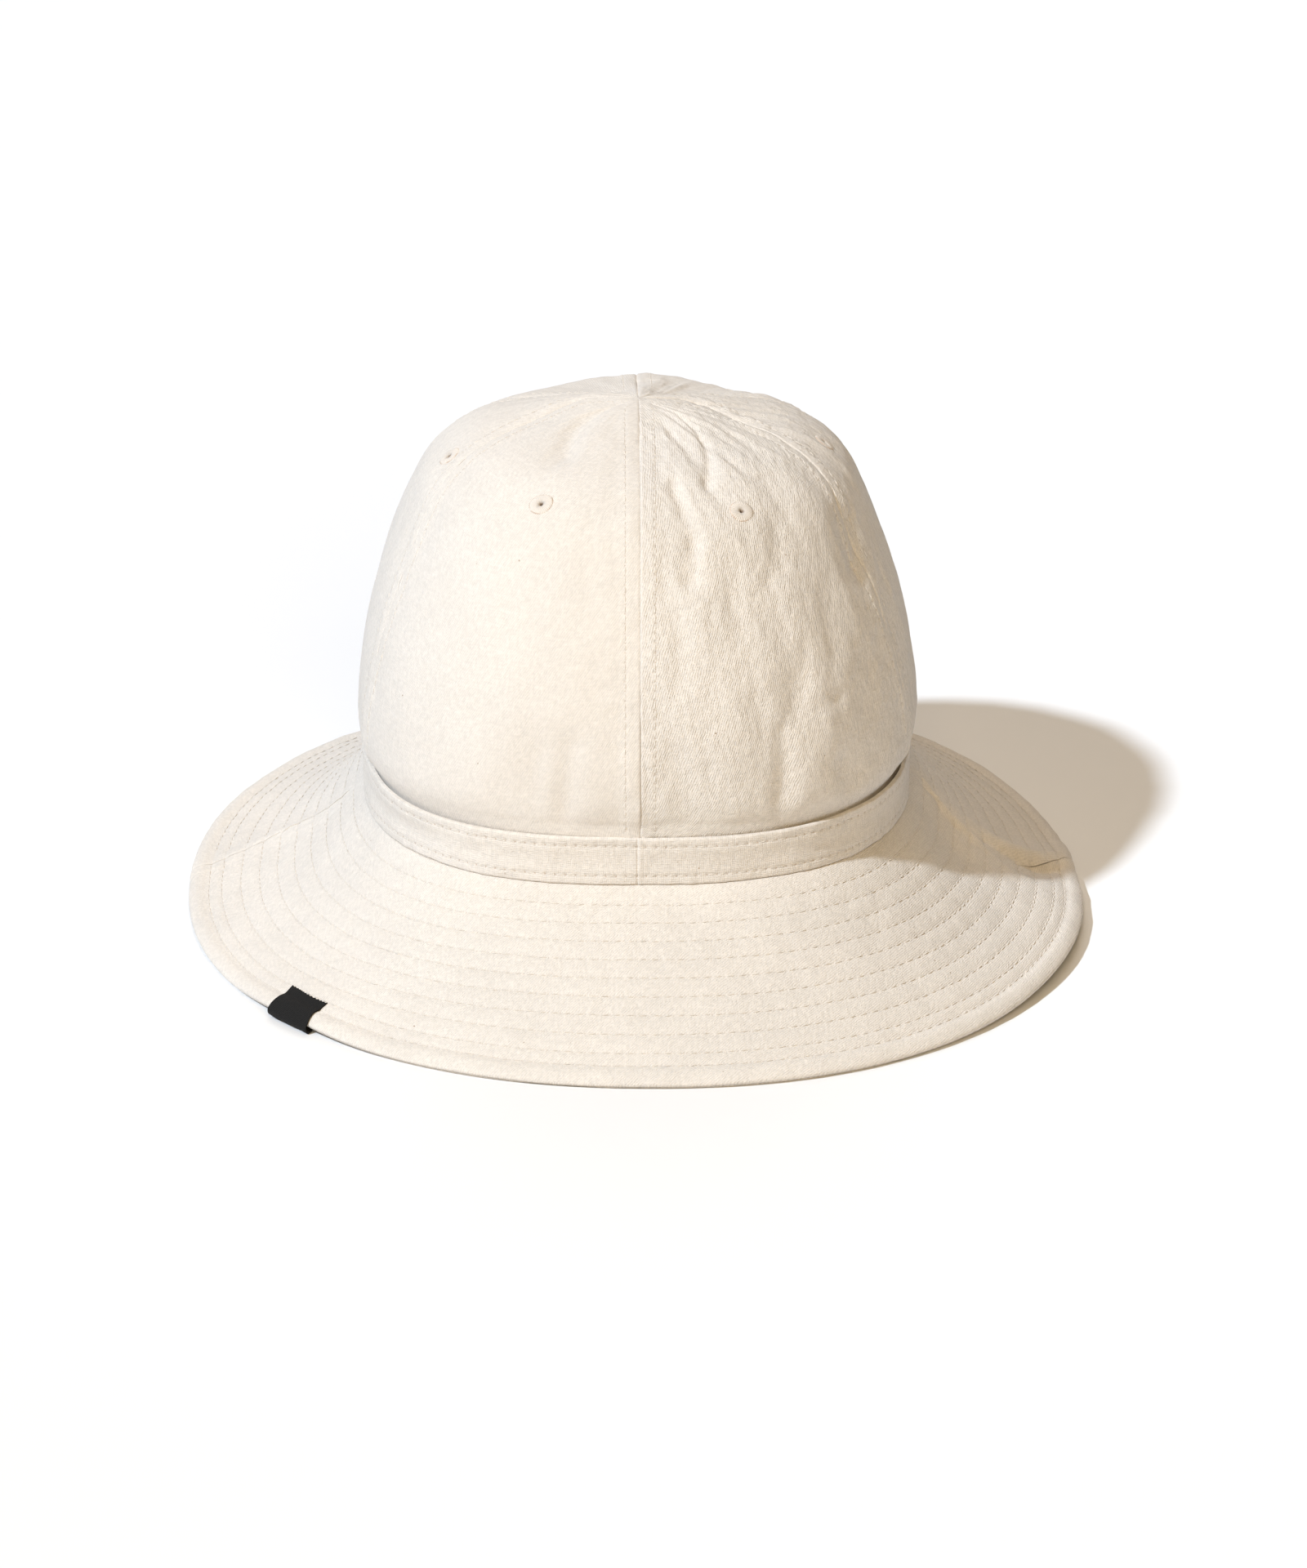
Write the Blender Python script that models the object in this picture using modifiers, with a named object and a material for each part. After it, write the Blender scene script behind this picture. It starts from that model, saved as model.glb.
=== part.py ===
"""A soft field hat of undyed cotton, standing on its brim.

The crown is six tapered panels that meet at the top, each with one eyelet. A narrow band
goes round the crown's foot and closes at the front. The brim is two layers of cloth, each
in a front and a back half that meet at the sides, and a small black tab is folded over its
edge. The front of the hat faces -Y, and the head opening is open below.

Azimuths are degrees from the front, growing towards +X.
"""
import math

import bmesh
import bpy
import numpy as np
from mathutils import Vector
from mathutils.bvhtree import BVHTree

# Head opening and crown, in metres. The swell stands out over the band, less so at the front
HEAD_HALF_WIDTH = 0.0868
HEAD_HALF_LENGTH = 0.0938
CROWN_HEIGHT = 0.1285
CROWN_SWELL = 0.0039
FRONT_TUCK = 0.0028
APEX_SHIFT = 0.0006
PANEL_PUFF = 0.0016

# Band round the crown's foot
BAND_HEIGHT = 0.0155

# Brim, measured from the band's outer face
BRIM_REACH_SIDE = 0.0592
BRIM_REACH_FRONT = 0.0612
BRIM_DROP = 0.0393
HEM_WIDTH = 0.0070
HEM_ROLL = 0.0005
EDGE_PRESS = 0.00045

# Cloth walls, and the gap left between neighbouring pieces
CROWN_CLOTH = 0.0014
BAND_CLOTH = 0.0013
BRIM_CLOTH = 0.0011
LABEL_CLOTH = 0.0005
GAP = 0.0003

# Eyelets: thread rings worked round a hole in the cloth
EYELET_RADIUS = 0.00375
EYELET_BORE = 0.00095
EYELET_WALL = 0.00065
EYELET_RISE = 0.0005

# Tab folded over the brim's edge
LABEL_WIDTH = 0.0185
LABEL_REACH = 0.0104
LABEL_UNDER = 0.0060
LABEL_SLACK = 0.0003
LABEL_AZIMUTH = -44.0

# How square each ring is in plan: 2 is an ellipse
FOOT_SQUARENESS = 2.6
DOME_SQUARENESS = 2.1
EDGE_SQUARENESS = 2.2

# Crown outline from the band's top edge to the top of the crown.
# Columns: share of the swell, share of the widest half width, share of the height
DOME_PROFILE = (
    (0.00, 1.000, 0.000),
    (0.72, 1.000, 0.034),
    (1.00, 1.000, 0.080),
    (1.00, 0.997, 0.140),
    (1.00, 0.982, 0.254),
    (1.00, 0.944, 0.414),
    (1.00, 0.882, 0.575),
    (1.00, 0.815, 0.702),
    (1.00, 0.738, 0.814),
    (1.00, 0.600, 0.903),
    (1.00, 0.400, 0.953),
    (1.00, 0.200, 0.984),
    (1.00, 0.000, 1.000),
)

# How far the middle of a panel stands above its seams.
# Columns: share of the way up the cloth, share of the puff
PUFF_PROFILE = (
    (0.00, 0.00),
    (0.10, 0.00),
    (0.20, 0.30),
    (0.55, 0.40),
    (0.74, 0.80),
    (0.83, 1.00),
    (0.93, 0.25),
    (1.00, 0.00),
)

# Shares of the crown's cloth over which dents fade in above the band and out at the top, over
# which the front's tuck sets in and dies away, and the tuck's half width in degrees
DENT_FADE_IN = 0.07
DENT_FADE_OUT = 0.12
TUCK_SETTING = 0.02
TUCK_CLIMB = 0.10
TUCK_TURN = 55.0

# Seams of the crown: azimuth at the foot, and degrees that the seam has turned at the top
SEAMS = (
    (0.8, 0.0),
    (67.5, 38.0),
    (121.0, 22.0),
    (180.8, 0.0),
    (239.0, -22.0),
    (292.0, -38.0),
    (360.8, 0.0),
)

# Where the seams do their turning. Columns: share of the way up the cloth, share of the turn
SEAM_TURN = (
    (0.00, 0.00),
    (0.66, 0.00),
    (0.73, 0.10),
    (0.77, 0.20),
    (0.81, 0.32),
    (0.85, 0.49),
    (0.88, 0.70),
    (0.91, 0.90),
    (0.95, 1.00),
    (1.00, 1.00),
)

# Panels, each between a seam and the next one.
# Columns: name, eyelet's azimuth, eyelet's share of the way up
PANELS = (
    ("front_right", 28.7, 0.643),
    ("side_right", 89.5, 0.660),
    ("back_right", 150.5, 0.645),
    ("back_left", 209.5, 0.645),
    ("side_left", 282.9, 0.656),
    ("front_left", 333.0, 0.657),
)

# Dents and soft folds of the crown, each a valley along a line.
# Columns: azimuth and share up at one end, the same at the other end,
# half width as a share of the head's half width, depth as a share of the crown's height
CROWN_DENTS = (
    (-54.0, 0.922, -33.0, 0.782, 0.090, 0.0100),
    (-19.2, 0.251, -22.8, 0.137, 0.080, 0.0080),
    (-12.5, 0.267, -13.5, 0.137, 0.070, 0.0060),
    (24.5, 0.878, 23.5, 0.701, 0.080, 0.0080),
    (12.2, 0.707, 12.2, 0.550, 0.070, 0.0070),
    (43.7, 0.673, 37.3, 0.545, 0.080, 0.0080),
    (63.5, 0.565, 58.0, 0.486, 0.090, 0.0130),
    (30.0, 0.340, 27.0, 0.160, 0.080, 0.0080),
    (50.0, 0.330, 46.0, 0.160, 0.080, 0.0080),
    (-95.0, 0.450, -100.0, 0.220, 0.120, 0.0090),
    (100.0, 0.470, 96.0, 0.230, 0.120, 0.0110),
    (164.0, 0.480, 154.0, 0.250, 0.130, 0.0120),
    (-145.0, 0.460, -156.0, 0.240, 0.130, 0.0100),
    (-158.0, 0.900, -149.5, 0.760, 0.420, 0.0230),
    (150.0, 0.900, 150.0, 0.775, 0.350, 0.0300),
)

# Bow of the brim, from a straight slope to one that runs out flat at the edge.
# Columns: azimuth, share of the bow
BRIM_BOW = (
    (-180.0, 1.00),
    (-80.0, 1.00),
    (-45.0, 0.55),
    (-15.0, 0.05),
    (20.0, 0.00),
    (55.0, 0.25),
    (85.0, 0.50),
    (120.0, 0.90),
    (180.0, 1.00),
)

# How far the edge reaches beyond a plain oval. Columns: azimuth, share of the side reach
EDGE_REACH = (
    (-180.0, -0.060),
    (-140.0, -0.060),
    (-120.0, -0.010),
    (-90.0, 0.010),
    (-60.0, 0.004),
    (-30.0, -0.006),
    (0.0, 0.032),
    (45.0, 0.050),
    (70.0, 0.025),
    (95.0, -0.050),
    (115.0, -0.090),
    (140.0, -0.090),
    (180.0, -0.060),
)

# Waves that lift the edge off the ground. Columns: azimuth, half width in degrees,
# lift as a share of the drop, share of the way out where the lift starts
BRIM_WAVES = (
    (LABEL_AZIMUTH, 9.0, 0.045, 0.55),
    (68.0, 20.0, 0.075, 0.35),
    (-142.0, 16.0, 0.040, 0.40),
    (150.0, 18.0, 0.050, 0.40),
)

# Seams between the brim's front and back halves.
# Columns: share of the way out, right seam's azimuth, left seam's azimuth
BRIM_SEAMS = (
    (0.00, 89.5, -86.5),
    (0.25, 84.5, -91.5),
    (0.50, 84.0, -95.0),
    (0.75, 87.0, -93.0),
    (1.00, 92.5, -90.5),
)

# Creases that follow a seam of the brim. Columns: side (1 right, -1 left), degrees from
# the seam, half width in degrees, lift as a share of the drop, shares of the way out
# where the crease starts, is strongest and ends
BRIM_CREASES = (
    (1, -5.5, 3.5, 0.035, 0.00, 0.32, 0.66),
    (1, -2.0, 3.8, -0.110, 0.18, 0.74, 0.98),
    (1, 3.0, 3.6, 0.060, 0.40, 0.88, 1.40),
    (-1, 0.0, 4.0, 0.030, 0.10, 0.50, 0.95),
)

# Rows of the meshes: shares of the way up the crown's cloth above the band, shares of the
# way out along the brim inside the hem, and shares of the hem
DOME_ROWS = (0.0, 0.022, 0.05, 0.13, 0.22, 0.31, 0.40, 0.49, 0.57, 0.665, 0.76, 0.84, 0.90, 0.95, 1.0)
BRIM_ROWS = (0.0, 0.18, 0.36, 0.54, 0.72, 0.88)
HEM_ROWS = (0.0, 0.50, 1.0)
PANEL_COLUMNS = 11
BRIM_COLUMNS = 28
BAND_COLUMNS = 64

# How much closer the brim's columns stand at the side seams than on average
SEAM_CROWDING = 0.5

# Sizes that follow from those above
STACK = 2 * BRIM_CLOTH + GAP
FOOT_HALF_WIDTH = HEAD_HALF_WIDTH + CROWN_CLOTH
LENGTH_RATIO = (HEAD_HALF_LENGTH + CROWN_CLOTH) / FOOT_HALF_WIDTH
BAND_OUTSET = GAP + BAND_CLOTH
SEAT_DEPTH = CROWN_CLOTH + BAND_OUTSET
SEAT_HEIGHT = 0.92 * STACK - EDGE_PRESS + BRIM_DROP
FOOT_HEIGHT = SEAT_HEIGHT + GAP
DOME_FOOT = FOOT_HEIGHT + BAND_HEIGHT + GAP
DOME_CENTRE = DOME_FOOT + 0.08 * (CROWN_HEIGHT - BAND_HEIGHT)


def clear_scene():
    """Remove every object that the file opened with."""
    for old in list(bpy.data.objects):
        bpy.data.objects.remove(old, do_unlink=True)


def named_collection(name):
    """A new collection under the scene's own."""
    made = bpy.data.collections.new(name)
    bpy.context.scene.collection.children.link(made)
    return made


def smooth_curve(x, knots, values):
    """Read a smooth curve through (knot, value) pairs, with cubic pieces that share slopes."""
    knots = np.asarray(knots, float)
    values = np.asarray(values, float)
    steps = np.diff(knots)
    slopes = np.diff(values) / steps
    tangents = np.empty_like(values)
    tangents[0] = slopes[0]
    tangents[-1] = slopes[-1]
    tangents[1:-1] = (slopes[:-1] * steps[1:] + slopes[1:] * steps[:-1]) / (steps[:-1] + steps[1:])
    x = np.clip(x, knots[0], knots[-1])
    i = np.clip(np.searchsorted(knots, x) - 1, 0, len(steps) - 1)
    t = (x - knots[i]) / steps[i]
    rise = t * t * (3 - 2 * t)
    lead_out = t * (1 - t) ** 2
    lead_in = t * t * (t - 1)
    bend = steps[i] * (lead_out * tangents[i] + lead_in * tangents[i + 1])
    return values[i] * (1 - rise) + values[i + 1] * rise + bend


def ease(x):
    """Go from 0 to 1 with flat ends."""
    x = np.clip(x, 0.0, 1.0)
    return x * x * (3 - 2 * x)


def oval_radius(azimuth, half_width, half_length, squareness):
    """Radius in plan of a rounded oval, at an azimuth in radians."""
    across = np.abs(np.sin(azimuth) / half_width) ** squareness
    along = np.abs(np.cos(azimuth) / half_length) ** squareness
    return (across + along) ** (-1.0 / squareness)


def turn_of(azimuth, centre):
    """Signed degrees from centre to azimuth, between -180 and 180."""
    return (azimuth - centre + 180.0) % 360.0 - 180.0


def crown_meridian():
    """Radius, height, angle from the top and share of length along the crown's side outline.

    The foot is straight behind the band, and the dome swells out over the band's top edge.
    """
    table = np.array(DOME_PROFILE)
    radius = (FOOT_HALF_WIDTH + CROWN_SWELL * table[:, 0]) * table[:, 1]
    height = DOME_FOOT + (FOOT_HEIGHT + CROWN_HEIGHT - DOME_FOOT) * table[:, 2]
    chord = np.r_[0.0, np.cumsum(np.hypot(np.diff(radius), np.diff(height)))]
    along = np.linspace(0.0, chord[-1], 800)
    fine_radius = np.r_[FOOT_HALF_WIDTH, np.maximum(smooth_curve(along, chord, radius), 0.0)]
    fine_height = np.r_[FOOT_HEIGHT, smooth_curve(along, chord, height)]
    length = np.r_[0.0, np.cumsum(np.hypot(np.diff(fine_radius), np.diff(fine_height)))]
    angle = np.arctan2(fine_radius, fine_height - DOME_CENTRE)
    return fine_radius, fine_height, angle, length / length[-1]


RADII, HEIGHTS, ANGLES, CLIMBS = crown_meridian()
CLOTH_LENGTH = CROWN_HEIGHT * 1.45
FOOT_CLIMB = CLIMBS[1]


def climb_at_radius(radius):
    """Share of the way up the cloth where the dome has narrowed to a radius."""
    dome = HEIGHTS > DOME_CENTRE
    return np.interp(radius, RADII[dome][::-1], CLIMBS[dome][::-1])


def crown_seam(number, climb):
    """Azimuth of a seam of the crown at a share of the way up the cloth."""
    azimuth, turned = SEAMS[number]
    table = np.array(SEAM_TURN)
    return azimuth + turned * smooth_curve(climb, table[:, 0], table[:, 1])


def crown_dent_depth(azimuth, climb):
    """Sum of the crown's dents: each falls off as a bell across its line and past its ends."""
    depth = np.zeros(np.broadcast(azimuth, climb).shape)
    for start_turn, start_up, end_turn, end_up, wide, deep in CROWN_DENTS:
        across_scale = FOOT_HALF_WIDTH * np.radians(1.0)
        x = turn_of(azimuth, start_turn) * across_scale
        y = (climb - start_up) * CLOTH_LENGTH
        line_x = turn_of(end_turn, start_turn) * across_scale
        line_y = (end_up - start_up) * CLOTH_LENGTH
        share = np.clip((x * line_x + y * line_y) / (line_x ** 2 + line_y ** 2), 0.0, 1.0)
        away = np.hypot(x - share * line_x, y - share * line_y)
        depth += deep * CROWN_HEIGHT * np.exp(-(away / (wide * HEAD_HALF_WIDTH)) ** 2)
    return depth


def crown_point(azimuth, climb, edge_share):
    """Outer face of the crown.

    azimuth is in degrees and climb is the share of the way up the cloth. edge_share is 0 in
    the middle of a panel and 1 at its seams. The outline is turned round an oval, leaned so
    that its seams meet beside the axis, puffed between the seams, dented, and tucked in just
    over the band at the front.
    """
    azimuth, climb, edge_share = np.broadcast_arrays(azimuth, climb, edge_share)
    turn = np.radians(azimuth)
    radius = np.interp(climb, CLIMBS, RADII)
    height = np.interp(climb, CLIMBS, HEIGHTS)
    lean = APEX_SHIFT * ease((climb - 0.2) / 0.8)
    x = radius * np.sin(turn) + lean
    y = -radius * np.cos(turn)
    angle = np.arctan2(np.hypot(x, y), height - DOME_CENTRE)
    turn = np.arctan2(x, -y)
    radius = np.interp(angle, ANGLES[::-1], RADII[::-1])
    height = np.interp(angle, ANGLES[::-1], HEIGHTS[::-1])
    up = np.clip((height - FOOT_HEIGHT) / CROWN_HEIGHT, 0.0, 1.0)
    squareness = FOOT_SQUARENESS + (DOME_SQUARENESS - FOOT_SQUARENESS) * up
    plan = oval_radius(turn, 1.0, LENGTH_RATIO, squareness)
    puff_table = np.array(PUFF_PROFILE)
    puff = PANEL_PUFF * smooth_curve(climb, puff_table[:, 0], puff_table[:, 1])
    above = climb - FOOT_CLIMB
    free = ease(above / DENT_FADE_IN) * ease((1.0 - climb) / DENT_FADE_OUT)
    tuck = FRONT_TUCK * ease(above / TUCK_SETTING) * np.exp(-(above / TUCK_CLIMB) ** 2)
    tuck = tuck * np.exp(-(turn_of(azimuth, 0.0) / TUCK_TURN) ** 2)
    inward = free * crown_dent_depth(azimuth, climb) + puff * np.abs(edge_share) ** 3 + tuck
    out_x = np.sin(angle) * np.sin(turn)
    out_y = -np.sin(angle) * np.cos(turn)
    out_z = np.cos(angle)
    return np.stack([
        radius * plan * np.sin(turn) - inward * out_x,
        -radius * plan * np.cos(turn) - inward * out_y,
        height - inward * out_z,
    ], axis=-1)


def brim_bow(share):
    """Extra fall of a bowed brim over a straight one: steep at the band, flat at the edge."""
    return share * (1.0 - share) * (1.30 - 0.73 * share)


def edge_height(bowed, reach):
    """Height of the brim's top face at its edge, where the layers below it touch the ground.

    The steeper the brim ends, the less of its thickness stands upright.
    """
    steepness = BRIM_DROP * (1.0 - 0.57 * bowed) / reach
    return STACK / np.sqrt(1.0 + steepness ** 2) - EDGE_PRESS


def brim_seam(side, share):
    """Azimuth of a side seam of the brim. side is 1 on the right and -1 on the left."""
    table = np.array(BRIM_SEAMS)
    column = 1 if side > 0 else 2
    return smooth_curve(share, table[:, 0], table[:, column])


def brim_lift(azimuth, share):
    """Height that waves and creases add to the brim."""
    lift = np.zeros(np.broadcast(azimuth, share).shape)
    for centre, half_width, rise, start in BRIM_WAVES:
        bell = np.exp(-(turn_of(azimuth, centre) / half_width) ** 2)
        lift += rise * bell * ease((share - start) / (1.0 - start))
    for side, offset, half_width, rise, start, peak, end in BRIM_CREASES:
        off_line = turn_of(azimuth, brim_seam(side, np.clip(share, 0.0, 1.0)) + side * offset)
        grow = ease((share - start) / (peak - start))
        fade = 1.0 - ease((share - peak) / (end - peak))
        lift += rise * np.exp(-(off_line / half_width) ** 2) * grow * fade
    return lift * BRIM_DROP


def brim_point(azimuth, share):
    """Top face of the brim: share is 0 at the band's outer face and 1 at the edge.

    A negative share is the flat seat under the band, at -1 under the crown's inner face.
    """
    azimuth, share = np.broadcast_arrays(azimuth, share)
    turn = np.radians(azimuth)
    inner_half = FOOT_HALF_WIDTH + BAND_OUTSET
    inner = oval_radius(turn, inner_half, FOOT_HALF_WIDTH * LENGTH_RATIO + BAND_OUTSET,
                        FOOT_SQUARENESS)
    outer = oval_radius(turn, inner_half + BRIM_REACH_SIDE,
                        FOOT_HALF_WIDTH * LENGTH_RATIO + BAND_OUTSET + BRIM_REACH_FRONT,
                        EDGE_SQUARENESS)
    reach = np.array(EDGE_REACH)
    wrapped = turn_of(azimuth, 0.0)
    outer = outer + BRIM_REACH_SIDE * smooth_curve(wrapped, reach[:, 0], reach[:, 1])
    bow = np.array(BRIM_BOW)
    bowed = smooth_curve(wrapped, bow[:, 0], bow[:, 1])
    out = np.clip(share, 0.0, 1.0)
    radius = inner + (outer - inner) * out + SEAT_DEPTH * np.minimum(share, 0.0)
    fall = out + bowed * brim_bow(out)
    hem_start = 1.0 - HEM_WIDTH / (BRIM_REACH_SIDE * 1.2)
    roll = HEM_ROLL * np.sin(np.pi * np.clip((share - hem_start) / (1.0 - hem_start), 0.0, 1.0))
    drop = SEAT_HEIGHT - edge_height(bowed, outer - inner)
    height = SEAT_HEIGHT - drop * fall + brim_lift(azimuth, out) + roll
    return np.stack([radius * np.sin(turn), -radius * np.cos(turn), height], axis=-1)


def brim_centre():
    """Middle of the brim's bounds in plan, so that the hat can stand centred on its origin."""
    edge = brim_point(np.arange(0.0, 360.0, 1.0), 1.0)
    middle = (edge.max(axis=0) + edge.min(axis=0)) / 2
    return middle * (1.0, 1.0, 0.0)


CENTRE = brim_centre()


def brim_normal(azimuth, share):
    """Upward normal of the brim's top face, from the points just beside it on each side."""
    along = brim_point(azimuth + 0.5, share) - brim_point(azimuth - 0.5, share)
    across = brim_point(azimuth, share + 0.004) - brim_point(azimuth, share - 0.004)
    normal = np.cross(along, across)
    normal *= np.sign(normal[..., 2:3])
    return normal / np.linalg.norm(normal, axis=-1, keepdims=True)


def cotton(name, colour, roughness=0.9):
    """Plain cloth material."""
    made = bpy.data.materials.new(name)
    made.use_nodes = True
    shader = made.node_tree.nodes["Principled BSDF"]
    shader.inputs["Base Color"].default_value = (*colour, 1.0)
    shader.inputs["Roughness"].default_value = roughness
    shader.inputs["Metallic"].default_value = 0.0
    return made


def cloth_sheet(name, columns, rows, place, wall, material, collection, depth=0.0):
    """A grid of columns by rows cells, laid on a surface and thickened inwards.

    place takes two arrays, each from 0 to 1 across and up the grid, and gives the points of
    the surface. Points that land together, as at a panel's tip, are merged. depth is how far
    the wall's outer face lies below the surface.
    """
    mesh = bpy.data.meshes.new(name)
    grid = bmesh.new()
    bmesh.ops.create_grid(grid, x_segments=columns, y_segments=rows, size=0.5)
    grid.to_mesh(mesh)
    grid.free()
    flat = np.empty(len(mesh.vertices) * 3)
    mesh.vertices.foreach_get("co", flat)
    flat = flat.reshape(-1, 3)
    points = place(flat[:, 0] + 0.5, flat[:, 1] + 0.5) - CENTRE
    mesh.vertices.foreach_set("co", points.ravel())
    tidy = bmesh.new()
    tidy.from_mesh(mesh)
    bmesh.ops.remove_doubles(tidy, verts=tidy.verts, dist=1e-6)
    tidy.to_mesh(mesh)
    tidy.free()
    mesh.shade_smooth()
    mesh.materials.append(material)
    sheet = bpy.data.objects.new(name, mesh)
    collection.objects.link(sheet)
    thicken = sheet.modifiers.new("cloth", "SOLIDIFY")
    thicken.thickness = wall
    thicken.offset = -1.0 - 2.0 * depth / wall
    thicken.use_rim = True
    return sheet


def nearest_on(sheet, point):
    """Nearest point of a sheet's own facets, and the normal there."""
    mesh = sheet.data
    corners = [vertex.co for vertex in mesh.vertices]
    facets = [face.vertices for face in mesh.polygons]
    place, normal, _, _ = BVHTree.FromPolygons(corners, facets).find_nearest(Vector(point))
    return place, normal


def cut_with(target, cutter, name):
    """Take a cutter out of a solid."""
    cut = target.modifiers.new(name, "BOOLEAN")
    cut.operation = "DIFFERENCE"
    cut.solver = "EXACT"
    cut.object = cutter


def hide_cutter(cutter):
    """Show a cutter as wires only."""
    cutter.hide_render = True
    cutter.display_type = "WIRE"


def stand_on(made, point, normal):
    """Put an object on a point with its Z axis along a normal."""
    made.location = Vector(point)
    made.rotation_mode = "QUATERNION"
    made.rotation_quaternion = Vector(normal).to_track_quat("Z", "Y")


def crown_climbs():
    """Rows of a crown panel: its foot, the band's top edge and the dome's rows."""
    return np.r_[0.0, FOOT_CLIMB + (1.0 - FOOT_CLIMB) * np.array(DOME_ROWS)]


def seam_inset(number, climb, radius, half):
    """Degrees from a seam to a panel's edge: half a gap, measured square to the slanting seam."""
    step = 0.01
    turned = np.radians(crown_seam(number, climb + step) - crown_seam(number, climb - step))
    slant = turned * radius / (2 * step * CLOTH_LENGTH)
    share = GAP / 2 * np.sqrt(1.0 + slant ** 2) / radius
    return np.degrees(np.arcsin(np.clip(share, 0.0, np.sin(np.radians(half)))))


def panel_placer(number):
    """Outer face of one crown panel, half a gap inside each of its seams."""
    tip_half = (crown_seam(number + 1, 1.0) - crown_seam(number, 1.0)) / 2
    tip_radius = GAP / 2 / math.sin(math.radians(tip_half))
    tip = float(climb_at_radius(tip_radius))
    climbs = np.minimum(crown_climbs(), tip)
    row_steps = np.linspace(0.0, 1.0, len(climbs))

    def place(across, up):
        climb = np.interp(up, row_steps, climbs)
        first = crown_seam(number, climb)
        last = crown_seam(number + 1, climb)
        half = (last - first) / 2
        radius = np.maximum(np.interp(climb, CLIMBS, RADII), tip_radius)
        first = first + seam_inset(number, climb, radius, half)
        last = last - seam_inset(number + 1, climb, radius, half)
        side = (2 * across - 1) * (up < 0.999)
        return crown_point((first + last) / 2 + (last - first) / 2 * side, climb, side)

    return place


def make_crown(parts, cutters, cloth, thread):
    """Six panels and their eyelets."""
    for number, (name, eyelet_turn, eyelet_up) in enumerate(PANELS):
        panel = cloth_sheet("crown_panel_" + name, PANEL_COLUMNS, len(DOME_ROWS),
                            panel_placer(number), CROWN_CLOTH, cloth, parts)
        point, normal = nearest_on(panel, crown_point(eyelet_turn, eyelet_up, 0.0) - CENTRE)
        drill = eyelet_drill("drill_" + name, cutters)
        stand_on(drill, point, normal)
        cut_with(panel, drill, "eyelet hole")
        ring = eyelet_ring("eyelet_" + name, thread, parts)
        stand_on(ring, point, normal)


def eyelet_drill(name, cutters):
    """A short rod that clears the eyelet's waist."""
    mesh = bpy.data.meshes.new(name)
    rod = bmesh.new()
    reach = EYELET_BORE + EYELET_WALL + GAP
    bmesh.ops.create_cone(rod, cap_ends=True, segments=12, radius1=reach, radius2=reach,
                          depth=8 * CROWN_CLOTH)
    rod.to_mesh(mesh)
    rod.free()
    drill = bpy.data.objects.new(name, mesh)
    cutters.objects.link(drill)
    hide_cutter(drill)
    return drill


def eyelet_ring(name, material, parts):
    """A turned ring: a waist through the cloth with a flange on each side of it."""
    waist = EYELET_BORE + EYELET_WALL
    outside = GAP + 0.00005
    inside = -CROWN_CLOTH - outside
    profile = (
        (EYELET_BORE, outside + 0.7 * EYELET_RISE),
        (0.55 * EYELET_RADIUS, outside + EYELET_RISE),
        (EYELET_RADIUS, outside + 0.2 * EYELET_RISE),
        (EYELET_RADIUS, outside),
        (waist, outside),
        (waist, inside),
        (0.8 * EYELET_RADIUS, inside),
        (EYELET_BORE, inside - 0.7 * EYELET_RISE),
    )
    mesh = bpy.data.meshes.new(name)
    count = len(profile)
    edges = [(i, (i + 1) % count) for i in range(count)]
    mesh.from_pydata([(x, 0.0, z) for x, z in profile], edges, [])
    mesh.materials.append(material)
    ring = bpy.data.objects.new(name, mesh)
    parts.objects.link(ring)
    turn = ring.modifiers.new("turn", "SCREW")
    turn.axis = "Z"
    turn.steps = 12
    turn.render_steps = 12
    turn.use_merge_vertices = True
    turn.merge_threshold = 0.00001
    turn.use_smooth_shade = True
    return ring


def make_band(parts, cloth):
    """One strip round the crown's foot, closed at the front with a gap."""
    half_length = FOOT_HALF_WIDTH * LENGTH_RATIO
    front_gap = math.degrees(GAP / 2 / (half_length + BAND_OUTSET))

    def place(across, up):
        turn = np.radians(front_gap + (360.0 - 2 * front_gap) * across)
        radius = oval_radius(turn, FOOT_HALF_WIDTH + BAND_OUTSET, half_length + BAND_OUTSET,
                             FOOT_SQUARENESS)
        height = FOOT_HEIGHT + BAND_HEIGHT * up
        return np.stack([radius * np.sin(turn), -radius * np.cos(turn), height], axis=-1)

    cloth_sheet("band", BAND_COLUMNS, 2, place, BAND_CLOTH, cloth, parts)


def brim_shares():
    """Rows of the brim from the seat's inner rim to the edge, as shares of the way out."""
    hem = HEM_WIDTH / (BRIM_REACH_SIDE * 1.2)
    flat = [(1.0 - hem) * row / BRIM_ROWS[-1] for row in BRIM_ROWS]
    hem_rows = [1.0 - hem + hem * row for row in HEM_ROWS[1:]]
    return np.array([-1.0] + flat + hem_rows)


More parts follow.
